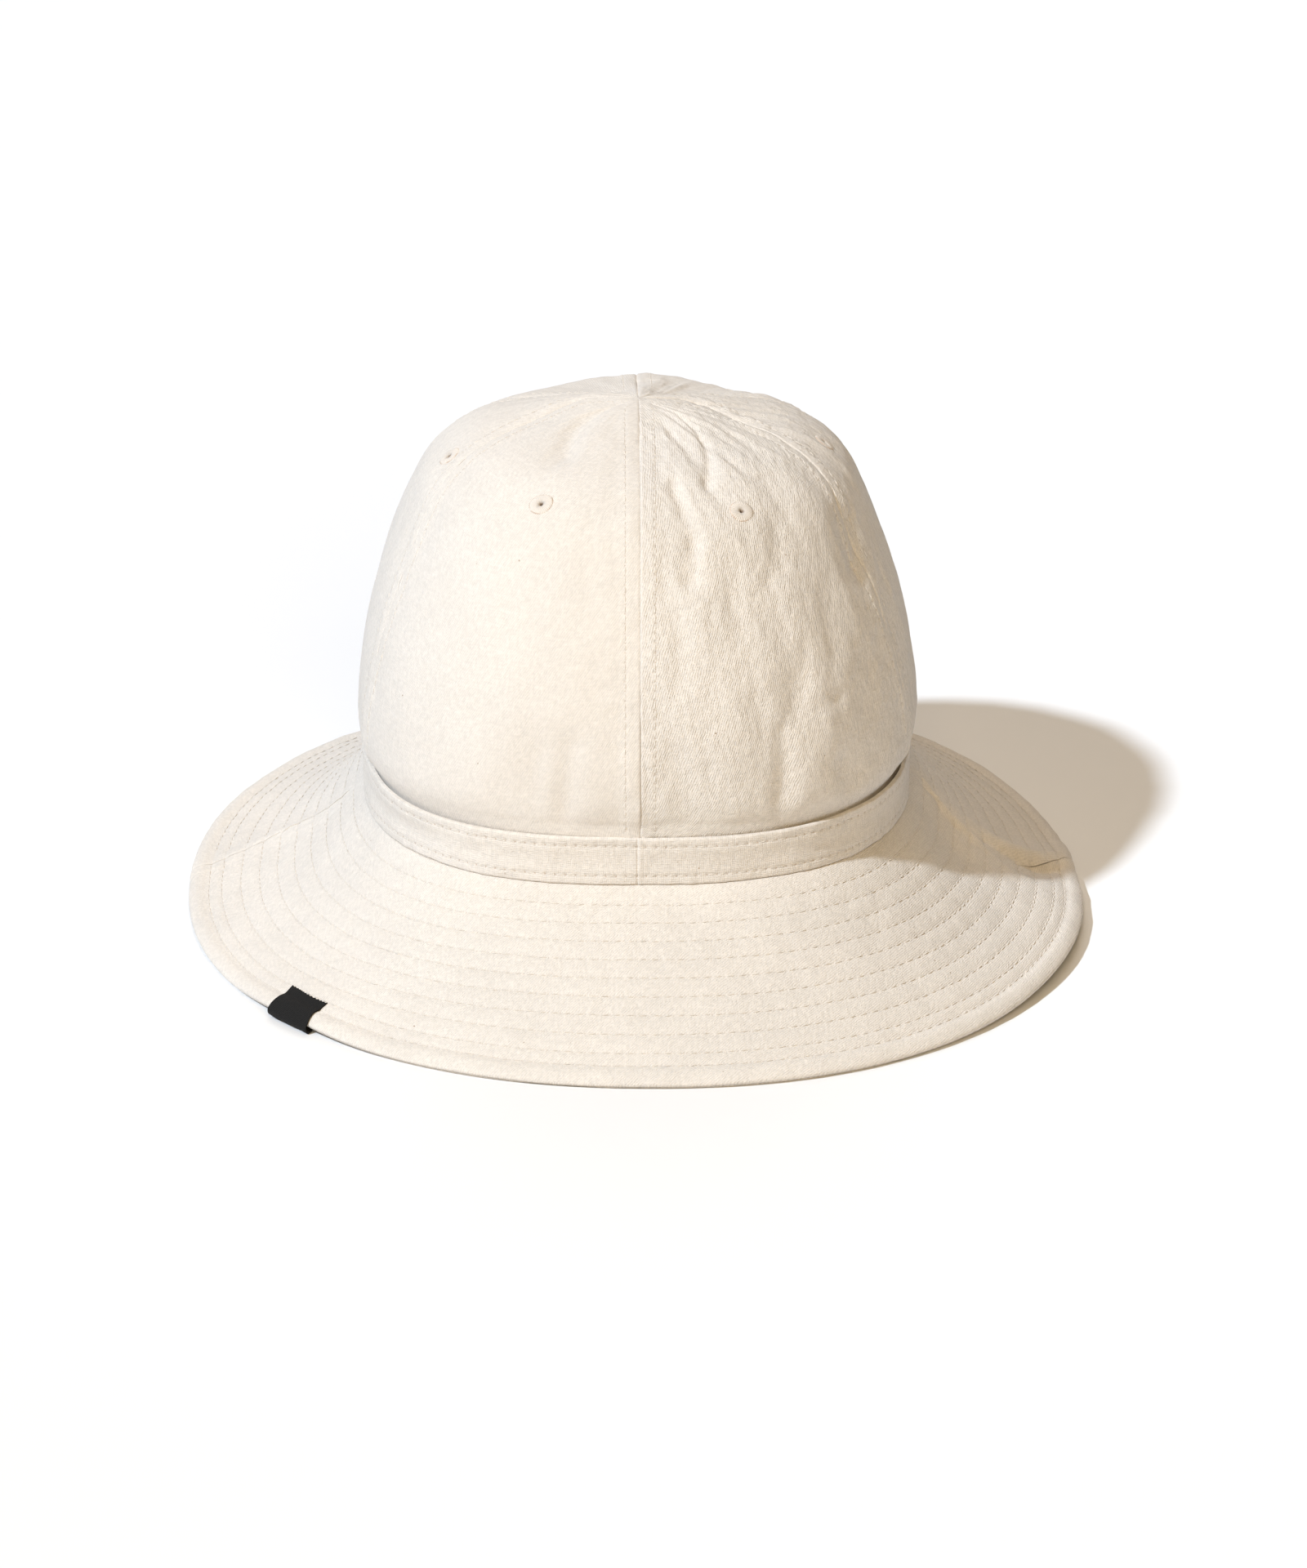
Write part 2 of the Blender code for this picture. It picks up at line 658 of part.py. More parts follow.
def make_brim(parts, cutters, top_cloth, under_cloth):
    """Two layers, each in a front and a back half, with the lower edge pressed flat."""
    shares = brim_shares()
    steps = np.linspace(0.0, 1.0, len(shares))
    ground = ground_cutter(cutters)
    layers = (("top", 0.0, top_cloth), ("under", BRIM_CLOTH + GAP, under_cloth))
    halves = (("front", -1, 1, 0.0), ("back", 1, -1, 360.0))
    for layer, depth, cloth in layers:
        for half, first_side, last_side, full_turn in halves:
            def place(across, up, sides=(first_side, last_side), full=full_turn):
                share = np.interp(up, steps, shares)
                out = np.clip(share, 0.0, 1.0)
                radius = np.linalg.norm(brim_point(90.0, share)[..., :2], axis=-1)
                inset = np.degrees(GAP / 2 / radius)
                first = brim_seam(sides[0], out) + inset
                last = brim_seam(sides[1], out) + full - inset
                crowded = across - SEAM_CROWDING * np.sin(2 * np.pi * across) / (2 * np.pi)
                return brim_point(last + (first - last) * crowded, share)
            sheet = cloth_sheet("brim_" + layer + "_" + half, BRIM_COLUMNS, len(shares) - 1,
                                place, BRIM_CLOTH, cloth, parts, depth=depth)
            if layer == "under":
                cut_with(sheet, ground, "pressed flat")


def ground_cutter(cutters):
    """A slab below the ground that flattens whatever is pressed on it."""
    mesh = bpy.data.meshes.new("ground")
    slab = bmesh.new()
    bmesh.ops.create_cube(slab, size=1.0)
    side = 4 * (FOOT_HALF_WIDTH + BRIM_REACH_FRONT)
    thick = BRIM_DROP
    bmesh.ops.scale(slab, vec=(side, side, thick), verts=slab.verts)
    bmesh.ops.translate(slab, vec=(0.0, 0.0, -thick / 2), verts=slab.verts)
    slab.to_mesh(mesh)
    slab.free()
    ground = bpy.data.objects.new("ground", mesh)
    cutters.objects.link(ground)
    hide_cutter(ground)
    return ground


def make_label(parts, material):
    """A strip that lies on the brim, turns round its edge and ends below it.

    The grid's rows run in three parts: down the top face, half a turn round the edge about
    the middle of the two layers, and back along the lower face.
    """
    clear = GAP + LABEL_CLOTH
    brim_length = BRIM_REACH_SIDE * 1.2
    top_end = 0.50
    round_end = 0.75

    def place(across, up):
        edge_radius = np.linalg.norm(brim_point(LABEL_AZIMUTH, 1.0)[:2])
        azimuth = LABEL_AZIMUTH + np.degrees(LABEL_WIDTH / edge_radius) * (0.5 - across)
        before = np.clip(1.0 - up / top_end, 0.0, 1.0) * LABEL_REACH
        after = np.clip((up - round_end) / (1.0 - round_end), 0.0, 1.0) * LABEL_UNDER
        share = 1.0 - (before + after) / brim_length
        point = brim_point(azimuth, share)
        normal = brim_normal(azimuth, np.minimum(share, 0.995))
        outward = point * (1.0, 1.0, 0.0)
        outward -= normal * np.sum(outward * normal, axis=-1, keepdims=True)
        outward /= np.linalg.norm(outward, axis=-1, keepdims=True)
        swing = np.pi * np.clip((up - top_end) / (round_end - top_end), 0.0, 1.0)[:, None]
        centre = point - normal * STACK / 2
        arm = normal * np.cos(swing) + outward * np.sin(swing)
        return centre + arm * (STACK / 2 + clear + LABEL_SLACK * swing / np.pi)

    cloth_sheet("brim_label", 4, 16, place, LABEL_CLOTH, material, parts)


def main():
    clear_scene()
    parts = named_collection("field_hat")
    cutters = named_collection("cutters")
    crown_cloth = cotton("crown_cotton", (0.86, 0.80, 0.71))
    band_cloth = cotton("band_cotton", (0.86, 0.80, 0.71))
    brim_cloth = cotton("brim_cotton", (0.86, 0.80, 0.71))
    under_cloth = cotton("brim_under_cotton", (0.85, 0.79, 0.70))
    thread = cotton("eyelet_thread", (0.84, 0.76, 0.66), 0.8)
    tape = cotton("label_tape", (0.012, 0.012, 0.013), 0.85)
    make_crown(parts, cutters, crown_cloth, thread)
    make_band(parts, band_cloth)
    make_brim(parts, cutters, brim_cloth, under_cloth)
    make_label(parts, tape)


main()
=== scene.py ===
# %% [markdown]
# # A field hat of undyed cotton
#
# The hat stands on its brim. Its crown is six panels sewn together, a narrow band hides the seam
# round the head, and the brim is two layers held by rows of stitching. The solids from the CAD
# model come in first. They fix every place and size, and each visible piece is then built anew
# over its own solid, with the folds, stitches and weave that a rigid solid leaves out.

# %% Load the CAD model
import math

import bmesh
import bpy
import numpy as np
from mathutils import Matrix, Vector


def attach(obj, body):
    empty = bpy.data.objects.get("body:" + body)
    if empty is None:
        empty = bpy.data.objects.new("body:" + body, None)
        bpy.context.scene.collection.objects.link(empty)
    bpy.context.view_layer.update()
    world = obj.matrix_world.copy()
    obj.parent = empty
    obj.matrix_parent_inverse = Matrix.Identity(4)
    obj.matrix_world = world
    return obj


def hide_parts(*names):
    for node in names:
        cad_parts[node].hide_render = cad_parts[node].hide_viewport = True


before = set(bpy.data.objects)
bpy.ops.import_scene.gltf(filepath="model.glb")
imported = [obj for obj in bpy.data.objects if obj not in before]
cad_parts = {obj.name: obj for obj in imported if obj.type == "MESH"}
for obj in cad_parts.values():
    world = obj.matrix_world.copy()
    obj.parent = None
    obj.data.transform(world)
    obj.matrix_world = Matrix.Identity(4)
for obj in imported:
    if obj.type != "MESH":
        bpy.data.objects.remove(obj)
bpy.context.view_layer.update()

# %% [markdown]
# ## Sizes
#
# The same driving sizes as the solids have, in metres. Azimuths are degrees from the front,
# growing towards +X. A table gives an outline or a line of folds by a few chosen shares, and a
# smooth curve goes through them.

# %% Sizes shared with the solids
HEAD_HALF_WIDTH = 0.0868
HEAD_HALF_LENGTH = 0.0938
CROWN_HEIGHT = 0.1285
CROWN_SWELL = 0.0039
FRONT_TUCK = 0.0028
APEX_SHIFT = 0.0006
PANEL_PUFF = 0.0016
BAND_HEIGHT = 0.0155
BRIM_REACH_SIDE = 0.0592
BRIM_REACH_FRONT = 0.0612
BRIM_DROP = 0.0393
HEM_WIDTH = 0.0070
HEM_ROLL = 0.0005
EDGE_PRESS = 0.00045
CROWN_CLOTH = 0.0014
BAND_CLOTH = 0.0013
BRIM_CLOTH = 0.0011
LABEL_CLOTH = 0.0005
GAP = 0.0003
FOOT_SQUARENESS = 2.6
DOME_SQUARENESS = 2.1
EDGE_SQUARENESS = 2.2
LABEL_WIDTH = 0.0185
LABEL_REACH = 0.0104
LABEL_UNDER = 0.0060
LABEL_SLACK = 0.0003
LABEL_AZIMUTH = -44.0

STACK = 2 * BRIM_CLOTH + GAP
FOOT_HALF_WIDTH = HEAD_HALF_WIDTH + CROWN_CLOTH
LENGTH_RATIO = (HEAD_HALF_LENGTH + CROWN_CLOTH) / FOOT_HALF_WIDTH
BAND_OUTSET = GAP + BAND_CLOTH
SEAT_DEPTH = CROWN_CLOTH + BAND_OUTSET
SEAT_HALF_WIDTH = FOOT_HALF_WIDTH + BAND_OUTSET
SEAT_HALF_LENGTH = FOOT_HALF_WIDTH * LENGTH_RATIO + BAND_OUTSET
SEAT_HEIGHT = 0.92 * STACK - EDGE_PRESS + BRIM_DROP
FOOT_HEIGHT = SEAT_HEIGHT + GAP
DOME_FOOT = FOOT_HEIGHT + BAND_HEIGHT + GAP
DOME_CENTRE = DOME_FOOT + 0.08 * (CROWN_HEIGHT - BAND_HEIGHT)
CLOTH_LENGTH = CROWN_HEIGHT * 1.45
print("seat of the band at", round(SEAT_HEIGHT * 1000, 2), "mm")

# %% [markdown]
# ## Curves and soft noise
#
# Cloth is never quite smooth. A soft noise, made from a small lattice of random numbers with
# eased steps between them, gives the gentle unevenness that real cloth has. Stretching it in one
# direction turns lumps into folds. The lattice is seeded, so each run gives the same hat.

# %% Curve and noise helpers
def smooth_curve(x, knots, values):
    """Read a smooth curve through (knot, value) pairs, with cubic pieces that share slopes."""
    knots = np.asarray(knots, float)
    values = np.asarray(values, float)
    steps = np.diff(knots)
    slopes = np.diff(values) / steps
    tangents = np.empty_like(values)
    tangents[0] = slopes[0]
    tangents[-1] = slopes[-1]
    tangents[1:-1] = (slopes[:-1] * steps[1:] + slopes[1:] * steps[:-1]) / (steps[:-1] + steps[1:])
    x = np.clip(x, knots[0], knots[-1])
    i = np.clip(np.searchsorted(knots, x) - 1, 0, len(steps) - 1)
    t = (x - knots[i]) / steps[i]
    rise = t * t * (3 - 2 * t)
    bend = t * (1 - t) ** 2 * tangents[i] + t * t * (t - 1) * tangents[i + 1]
    return values[i] * (1 - rise) + values[i + 1] * rise + steps[i] * bend


def read_table(x, table, column=1):
    """Read a column of a table at x, by a smooth curve over the table's first column."""
    columns = np.array(table).T
    return smooth_curve(x, columns[0], columns[column])


def limit(x):
    """x kept between 0 and 1."""
    return np.clip(x, 0, 1)


def ease(x):
    """Go from 0 to 1 with flat ends."""
    x = limit(x)
    return x * x * (3 - 2 * x)


def bell(x):
    """A bell that is 1 at 0 and 0.37 at 1."""
    return np.exp(-np.square(x))


def round_off(x):
    """How far a quarter circle lies below its top: 1 at 0, and 0 from 1 on."""
    return 1 - np.sqrt(1 - (1 - limit(x)) ** 2)


def unit(vector):
    """A vector divided by its own length."""
    return vector / np.linalg.norm(vector, axis=-1, keepdims=True)


def arc(azimuth, radius):
    """Length of an arc of so many degrees."""
    return np.radians(azimuth) * radius


def round_point(radius, turn, height):
    """Point at a radius, at a turn in radians from the front, and at a height."""
    return np.stack([radius * np.sin(turn), -radius * np.cos(turn), height], axis=-1)


def oval_radius(azimuth, half_width, half_length, squareness):
    """Radius in plan of a rounded oval, at an azimuth in radians."""
    across = np.abs(np.sin(azimuth) / half_width) ** squareness
    along = np.abs(np.cos(azimuth) / half_length) ** squareness
    return (across + along) ** (-1.0 / squareness)


def turn_of(azimuth, centre):
    """Signed degrees from centre to azimuth, between -180 and 180."""
    return (azimuth - centre + 180.0) % 360.0 - 180.0


def soft_noise(x, y, seed):
    """Random heights on a unit lattice with eased steps between them, from -1 to 1."""
    size = 64
    lattice = np.random.default_rng(seed).uniform(-1.0, 1.0, (size, size))
    column = np.floor(x).astype(int)
    row = np.floor(y).astype(int)
    right = ease(x - column)
    up = ease(y - row)
    low = lattice[row % size, column % size] * (1 - right)
    low = low + lattice[row % size, (column + 1) % size] * right
    high = lattice[(row + 1) % size, column % size] * (1 - right)
    high = high + lattice[(row + 1) % size, (column + 1) % size] * right
    return low * (1 - up) + high * up


def layered_noise(x, y, layers, shift=0.0):
    """Sum of stretched noises. shift moves them along y, by a share of each one's length."""
    return sum(height * soft_noise(x / width, y / length + shift, seed)
               for height, width, length, seed in layers)


def stitch_groove(away, count, deep, swing, wide):
    """Groove under a row: a bell across it, whose depth swings once for each stitch."""
    return -(deep + swing * np.cos(2 * np.pi * count)) * bell(away / wide)


print("noise at the origin:", round(float(soft_noise(0.5, 0.5, 1)), 3))

# %% [markdown]
# ## Cloth as a closed shell
#
# Every piece of cloth here is a grid of points for its outer face and a second grid for its inner
# face. A Solidify modifier could add the second face, but two grids leave each wall free to have
# its own thickness, such as the extra layers beside a seam. The two faces are joined by a rim,
# and the volume's sign tells whether the faces point outwards.

# %% Shell helper
def grid_normals(points):
    """Unit normals of a grid of points, from the cross product of its two directions."""
    normal = np.cross(np.gradient(points, axis=1), np.gradient(points, axis=0))
    length = np.linalg.norm(normal, axis=-1, keepdims=True)
    return normal / np.maximum(length, 1e-12)


def mesh_object(name, vertices, faces, maps=None):
    """A mesh object at the origin. maps has a (u, v) for each corner of each face, by name."""
    mesh = bpy.data.meshes.new(name)
    mesh.from_pydata(vertices, [], faces)
    for map_name, values in (maps or {}).items():
        layer = mesh.uv_layers.new(name=map_name)
        layer.data.foreach_set("uv", np.asarray(values, np.float32).ravel())
    mesh.shade_smooth()
    made = bpy.data.objects.new(name, mesh)
    bpy.context.scene.collection.objects.link(made)
    return made


def signed_volume(vertices, faces):
    """Volume inside quads, which is negative where they face inwards."""
    a, b, c, d = (vertices[faces[:, i]] for i in range(4))
    first = np.einsum("ij,ij->i", a, np.cross(b, c))
    return float(np.sum(first + np.einsum("ij,ij->i", a, np.cross(c, d)))) / 6


def shell_quads(front, back, ring):
    """Corners of the quads of the outer face, the inner face and the rim between two grids."""
    walls = [
        (front[:-1, :-1], front[:-1, 1:], front[1:, 1:], front[1:, :-1]),
        (back[:-1, :-1], back[1:, :-1], back[1:, 1:], back[:-1, 1:]),
        (front[0, :-1], back[0, :-1], back[0, 1:], front[0, 1:]),
        (front[-1, :-1], front[-1, 1:], back[-1, 1:], back[-1, :-1]),
    ]
    if not ring:
        walls.append((front[:-1, 0], front[1:, 0], back[1:, 0], back[:-1, 0]))
        walls.append((front[:-1, -1], back[:-1, -1], back[1:, -1], front[1:, -1]))
    return np.concatenate([np.stack([c.ravel() for c in wall], axis=1) for wall in walls])


def face_out(vertices, quads, others):
    """Turn quads round, and other faces or corners that go with them, if they face inwards."""
    way = -1 if signed_volume(vertices, quads) < 0 else 1
    return quads[:, ::way], others[:, ::way]


def map_points(uv):
    """One list of (u, v) points from two grids that broadcast together."""
    return np.stack(np.broadcast_arrays(*uv), axis=-1).reshape(-1, 2)


def cloth_shell(name, outer, inner, maps, ring=False):
    """A closed body between two grids of points of the same shape.

    maps has u and v over the grid, by name: the place on the flat cloth, and the place beside
    a row of stitches. A ring closes on itself across its columns, and its maps have one column
    more than its points.
    """
    rows, columns = outer.shape[:2]
    vertices = np.concatenate([outer.reshape(-1, 3), inner.reshape(-1, 3)])
    front = np.arange(rows * columns).reshape(rows, columns)
    if ring:
        front = np.concatenate([front, front[:, :1]], axis=1)
    place = np.arange(front.size).reshape(front.shape)
    faces, corners = face_out(vertices, shell_quads(front, front + rows * columns, ring),
                              shell_quads(place, place, ring))
    spread = {key: map_points(uv)[corners] for key, uv in maps.items()}
    made = mesh_object(name, vertices, faces, spread)
    merge = bmesh.new()
    merge.from_mesh(made.data)
    bmesh.ops.remove_doubles(merge, verts=merge.verts, dist=1e-7)
    merge.to_mesh(made.data)
    merge.free()
    made.data.set_sharp_from_angle(angle=math.radians(60))
    return made


def join_hat(piece, solid=None):
    """Let a piece ride on the hat, in place of its solid if it has one, and print its faces."""
    if solid:
        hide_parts(solid)
    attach(piece, "root")
    print(piece.name, "has", len(piece.data.polygons), "faces")
    return piece


print("helpers for shells and for joining the hat are ready")

# %% [markdown]
# ## Crown surface
#
# The crown is one outline turned round an oval, leaned so that the seams meet beside the axis,
# puffed between the seams and dented. Each dent is a valley along a short line. The broad ones
# are those of the solids, and the finer folds come on top: the cloth hangs in soft upright folds
# on the right, and a few start at the top, where six panels are eased into one point.

# %% Crown outline and folds
# Columns: share of the swell, share of the widest half width, share of the height
DOME_PROFILE = (
    (0.00, 1.000, 0.000),
    (0.72, 1.000, 0.034),
    (1.00, 1.000, 0.080),
    (1.00, 0.997, 0.140),
    (1.00, 0.982, 0.254),
    (1.00, 0.944, 0.414),
    (1.00, 0.882, 0.575),
    (1.00, 0.815, 0.702),
    (1.00, 0.738, 0.814),
    (1.00, 0.600, 0.903),
    (1.00, 0.400, 0.953),
    (1.00, 0.200, 0.984),
    (1.00, 0.000, 1.000),
)
# Columns: share of the way up the cloth, share of the puff
PUFF_PROFILE = (
    (0.00, 0.00),
    (0.10, 0.00),
    (0.20, 0.30),
    (0.55, 0.40),
    (0.74, 0.80),
    (0.83, 1.00),
    (0.93, 0.25),
    (1.00, 0.00),
)
# Seams of the crown. Columns: azimuth at the foot, degrees that the seam has turned at the top
SEAMS = (
    (0.8, 0.0),
    (67.5, 38.0),
    (121.0, 22.0),
    (180.8, 0.0),
    (239.0, -22.0),
    (292.0, -38.0),
    (360.8, 0.0),
)
# Columns: share of the way up the cloth, share of the turn
SEAM_TURN = (
    (0.00, 0.00),
    (0.66, 0.00),
    (0.73, 0.10),
    (0.77, 0.20),
    (0.81, 0.32),
    (0.85, 0.49),
    (0.88, 0.70),
    (0.91, 0.90),
    (0.95, 1.00),
    (1.00, 1.00),
)
# Panels, each between a seam and the next. Columns: name, eyelet's azimuth, its share of the way up
PANELS = (
    ("front_right", 28.7, 0.643),
    ("side_right", 89.5, 0.660),
    ("back_right", 150.5, 0.645),
    ("back_left", 209.5, 0.645),
    ("side_left", 282.9, 0.656),
    ("front_left", 333.0, 0.657),
)
# Columns: azimuth and share up at one end, the same at the other end, half width as a share
# of the head's half width, depth as a share of the crown's height
CROWN_DENTS = (
    (-54.0, 0.922, -33.0, 0.782, 0.090, 0.0100),
    (-19.2, 0.251, -22.8, 0.137, 0.080, 0.0080),
    (-12.5, 0.267, -13.5, 0.137, 0.070, 0.0060),
    (24.5, 0.878, 23.5, 0.701, 0.080, 0.0080),
    (12.2, 0.707, 12.2, 0.550, 0.070, 0.0070),
    (43.7, 0.673, 37.3, 0.545, 0.080, 0.0080),
    (63.5, 0.565, 58.0, 0.486, 0.090, 0.0130),
    (30.0, 0.340, 27.0, 0.160, 0.080, 0.0080),
    (50.0, 0.330, 46.0, 0.160, 0.080, 0.0080),
    (-95.0, 0.450, -100.0, 0.220, 0.120, 0.0090),
    (100.0, 0.470, 96.0, 0.230, 0.120, 0.0110),
    (164.0, 0.480, 154.0, 0.250, 0.130, 0.0120),
    (-145.0, 0.460, -156.0, 0.240, 0.130, 0.0100),
    (-158.0, 0.900, -149.5, 0.760, 0.420, 0.0230),
    (150.0, 0.900, 150.0, 0.775, 0.350, 0.0300),
)
# The finer folds, with the same columns
CROWN_FOLDS = (
    (46.2, 0.897, 23.0, 0.711, 0.032, 0.0093),
    (11.8, 0.717, 14.2, 0.601, 0.034, 0.0080),
    (14.2, 0.601, 12.0, 0.535, 0.036, 0.0070),
    (9.0, 0.470, 8.8, 0.362, 0.045, 0.0035),
    (37.0, 0.608, 30.5, 0.517, 0.050, 0.0080),
    (23.2, 0.542, 20.5, 0.436, 0.055, 0.0045),
    (44.2, 0.480, 42.0, 0.372, 0.050, 0.0055),
    (34.8, 0.394, 31.2, 0.298, 0.038, 0.0070),
    (28.2, 0.268, 27.5, 0.116, 0.036, 0.0100),
    (23.5, 0.323, 21.8, 0.199, 0.050, 0.0040),
    (7.5, 0.237, 10.0, 0.127, 0.045, 0.0065),
    (13.0, 0.207, 13.5, 0.133, 0.045, 0.0045),
    (40.5, 0.184, 42.5, 0.134, 0.060, 0.0100),
    (36.2, 0.294, 42.5, 0.301, 0.030, 0.0035),
    (59.0, 0.843, 50.5, 0.731, 0.050, 0.0045),
    (67.0, 0.542, 59.5, 0.486, 0.045, 0.0060),
    (72.2, 0.528, 71.8, 0.428, 0.045, 0.0080),
    (-57.5, 0.893, -27.8, 0.770, 0.045, 0.0030),
    (-10.8, 0.635, -11.5, 0.469, 0.060, 0.0030),
    (-12.0, 0.257, -13.8, 0.091, 0.034, 0.0050),
    (-18.0, 0.239, -18.8, 0.129, 0.034, 0.0035),
)
# Noises of the crown and of the brim. Columns: height, width and length in metres, seed
CROWN_UNEVENNESS = (
    (0.00040, 0.0066, 0.0300, 11),
    (0.00026, 0.0044, 0.0100, 12),
    (0.00008, 0.0023, 0.0050, 13),
)
BRIM_UNEVENNESS = (
    (0.00030, 0.0300, 0.0300, 51),
    (0.00016, 0.0048, 0.0062, 52),
    (0.00006, 0.0025, 0.0024, 53),
)


def crown_meridian():
    """Radius, height, angle from the top and share of length along the crown's side outline."""
    table = np.array(DOME_PROFILE)
    radius = (FOOT_HALF_WIDTH + CROWN_SWELL * table[:, 0]) * table[:, 1]
    height = DOME_FOOT + (FOOT_HEIGHT + CROWN_HEIGHT - DOME_FOOT) * table[:, 2]
    chord = np.r_[0.0, np.cumsum(np.hypot(np.diff(radius), np.diff(height)))]
    along = np.linspace(0.0, chord[-1], 800)
    fine_radius = np.r_[FOOT_HALF_WIDTH, np.maximum(smooth_curve(along, chord, radius), 0.0)]
    fine_height = np.r_[FOOT_HEIGHT, smooth_curve(along, chord, height)]
    length = np.r_[0.0, np.cumsum(np.hypot(np.diff(fine_radius), np.diff(fine_height)))]
    angle = np.arctan2(fine_radius, fine_height - DOME_CENTRE)
    return fine_radius, fine_height, angle, length / length[-1]


RADII, HEIGHTS, ANGLES, CLIMBS = crown_meridian()
FOOT_CLIMB = CLIMBS[1]


def dent_depth(table, azimuth, climb):
    """Sum of dents: each falls off as a bell across its line and past its ends."""
    depth = np.zeros(np.broadcast(azimuth, climb).shape)
    for start_turn, start_up, end_turn, end_up, wide, deep in table:
        x = arc(turn_of(azimuth, start_turn), FOOT_HALF_WIDTH)
        y = (climb - start_up) * CLOTH_LENGTH
        line_x = arc(turn_of(end_turn, start_turn), FOOT_HALF_WIDTH)
        line_y = (end_up - start_up) * CLOTH_LENGTH
        share = limit((x * line_x + y * line_y) / (line_x ** 2 + line_y ** 2))
        away = np.hypot(x - share * line_x, y - share * line_y)
        depth += deep * CROWN_HEIGHT * bell(away / (wide * HEAD_HALF_WIDTH))
    return depth


def crown_unevenness(azimuth, climb):
    """Broad waves, and leaning folds, lumps and a fine crumple that are strongest on the right."""
    across = arc(azimuth, FOOT_HALF_WIDTH) + 1.0
    along = climb * CLOTH_LENGTH
    broad = 0.00040 * soft_noise(across / 0.034, along / 0.045, 14)
    right = 0.30 + 0.70 * ease((turn_of(azimuth, 0.0) + 4.0) / 16.0)
    return broad + right * layered_noise(across + 0.12 * along, along, CROWN_UNEVENNESS)


def crown_point(azimuth, climb, edge_share):
    """Outer face of the crown, as the solids have it, with the finer folds added.

    azimuth is in degrees and climb is the share of the way up the cloth. edge_share is 0 in
    the middle of a panel and 1 at its seams.
    """
    azimuth, climb, edge_share = np.broadcast_arrays(azimuth, climb, edge_share)
    turn = np.radians(azimuth)
    radius = np.interp(climb, CLIMBS, RADII)
    height = np.interp(climb, CLIMBS, HEIGHTS)
    lean = APEX_SHIFT * ease((climb - 0.2) / 0.8)
    x = radius * np.sin(turn) + lean
    y = -radius * np.cos(turn)
    angle = np.arctan2(np.hypot(x, y), height - DOME_CENTRE)
    turn = np.arctan2(x, -y)
    radius = np.interp(angle, ANGLES[::-1], RADII[::-1])
    height = np.interp(angle, ANGLES[::-1], HEIGHTS[::-1])
    up = limit((height - FOOT_HEIGHT) / CROWN_HEIGHT)
    squareness = FOOT_SQUARENESS + (DOME_SQUARENESS - FOOT_SQUARENESS) * up
    plan = oval_radius(turn, 1.0, LENGTH_RATIO, squareness)
    puff = PANEL_PUFF * read_table(climb, PUFF_PROFILE)
    above = climb - FOOT_CLIMB
    free = ease(above / 0.07) * ease((1.0 - climb) / 0.12)
    swell = np.interp(climb, CLIMBS, RADII) - FOOT_HALF_WIDTH
    swollen = limit(swell / (0.72 * CROWN_SWELL))
    tuck = FRONT_TUCK * swollen * bell(above / 0.10) * bell(turn_of(azimuth, 0.0) / 55.0)
    dents = dent_depth(CROWN_DENTS + CROWN_FOLDS, azimuth, climb)
    rise = free * (crown_unevenness(azimuth, climb) - dents)
    inward = puff * np.abs(edge_share) ** 3 + tuck - rise
    radius = radius * plan - inward * np.sin(angle)
    return round_point(radius, turn, height - inward * np.cos(angle)) - CENTRE


print("crown outline:", round(CLOTH_LENGTH * 1000), "mm of cloth from the foot to the top")

# %% [markdown]
# ## Brim surface
#
# The brim falls straight at the front and bows at the sides and back, where it is steep at the
# band and runs out nearly flat. The same function serves both layers, the stitch rows and the
# tab, so they all follow each other. A share that is even along the sloping cloth is turned into
# a share of the way out in plan, because the rows of stitching are evenly spaced on the cloth.

# %% Brim outline, waves and creases
# Columns: azimuth, share of the bow
BRIM_BOW = (
    (-180.0, 1.00),
    (-80.0, 1.00),
    (-45.0, 0.55),
    (-15.0, 0.05),
    (20.0, 0.00),
    (55.0, 0.25),
    (85.0, 0.50),
    (120.0, 0.90),
    (180.0, 1.00),
)
# Columns: azimuth, share of the side reach
EDGE_REACH = (
    (-180.0, -0.060),
    (-140.0, -0.060),
    (-120.0, -0.010),
    (-90.0, 0.010),
    (-60.0, 0.004),
    (-30.0, -0.006),
    (0.0, 0.032),
    (45.0, 0.050),
    (70.0, 0.025),
    (95.0, -0.050),
    (115.0, -0.090),
    (140.0, -0.090),
    (180.0, -0.060),
)
# Columns: azimuth, half width in degrees, lift as a share of the drop, share where it starts
BRIM_WAVES = (
    (LABEL_AZIMUTH, 9.0, 0.045, 0.55),
    (68.0, 20.0, 0.075, 0.35),
    (-142.0, 16.0, 0.040, 0.40),
    (150.0, 18.0, 0.050, 0.40),
)
# Columns: share of the way out, right seam's azimuth, left seam's azimuth
BRIM_SEAMS = (
    (0.00, 89.5, -86.5),
    (0.25, 84.5, -91.5),
    (0.50, 84.0, -95.0),
    (0.75, 87.0, -93.0),
    (1.00, 92.5, -90.5),
)
# Columns: side, degrees from the seam, half width in degrees, lift as a share of the drop,
# shares of the way out where the crease starts, is strongest and ends
BRIM_CREASES = (
    (1, -5.5, 3.5, 0.020, 0.00, 0.32, 0.66),
    (1, -2.0, 3.8, -0.080, 0.18, 0.74, 0.98),
    (1, 3.0, 3.6, 0.050, 0.40, 0.88, 1.40),
    (-1, 0.0, 4.0, 0.030, 0.10, 0.50, 0.95),
)
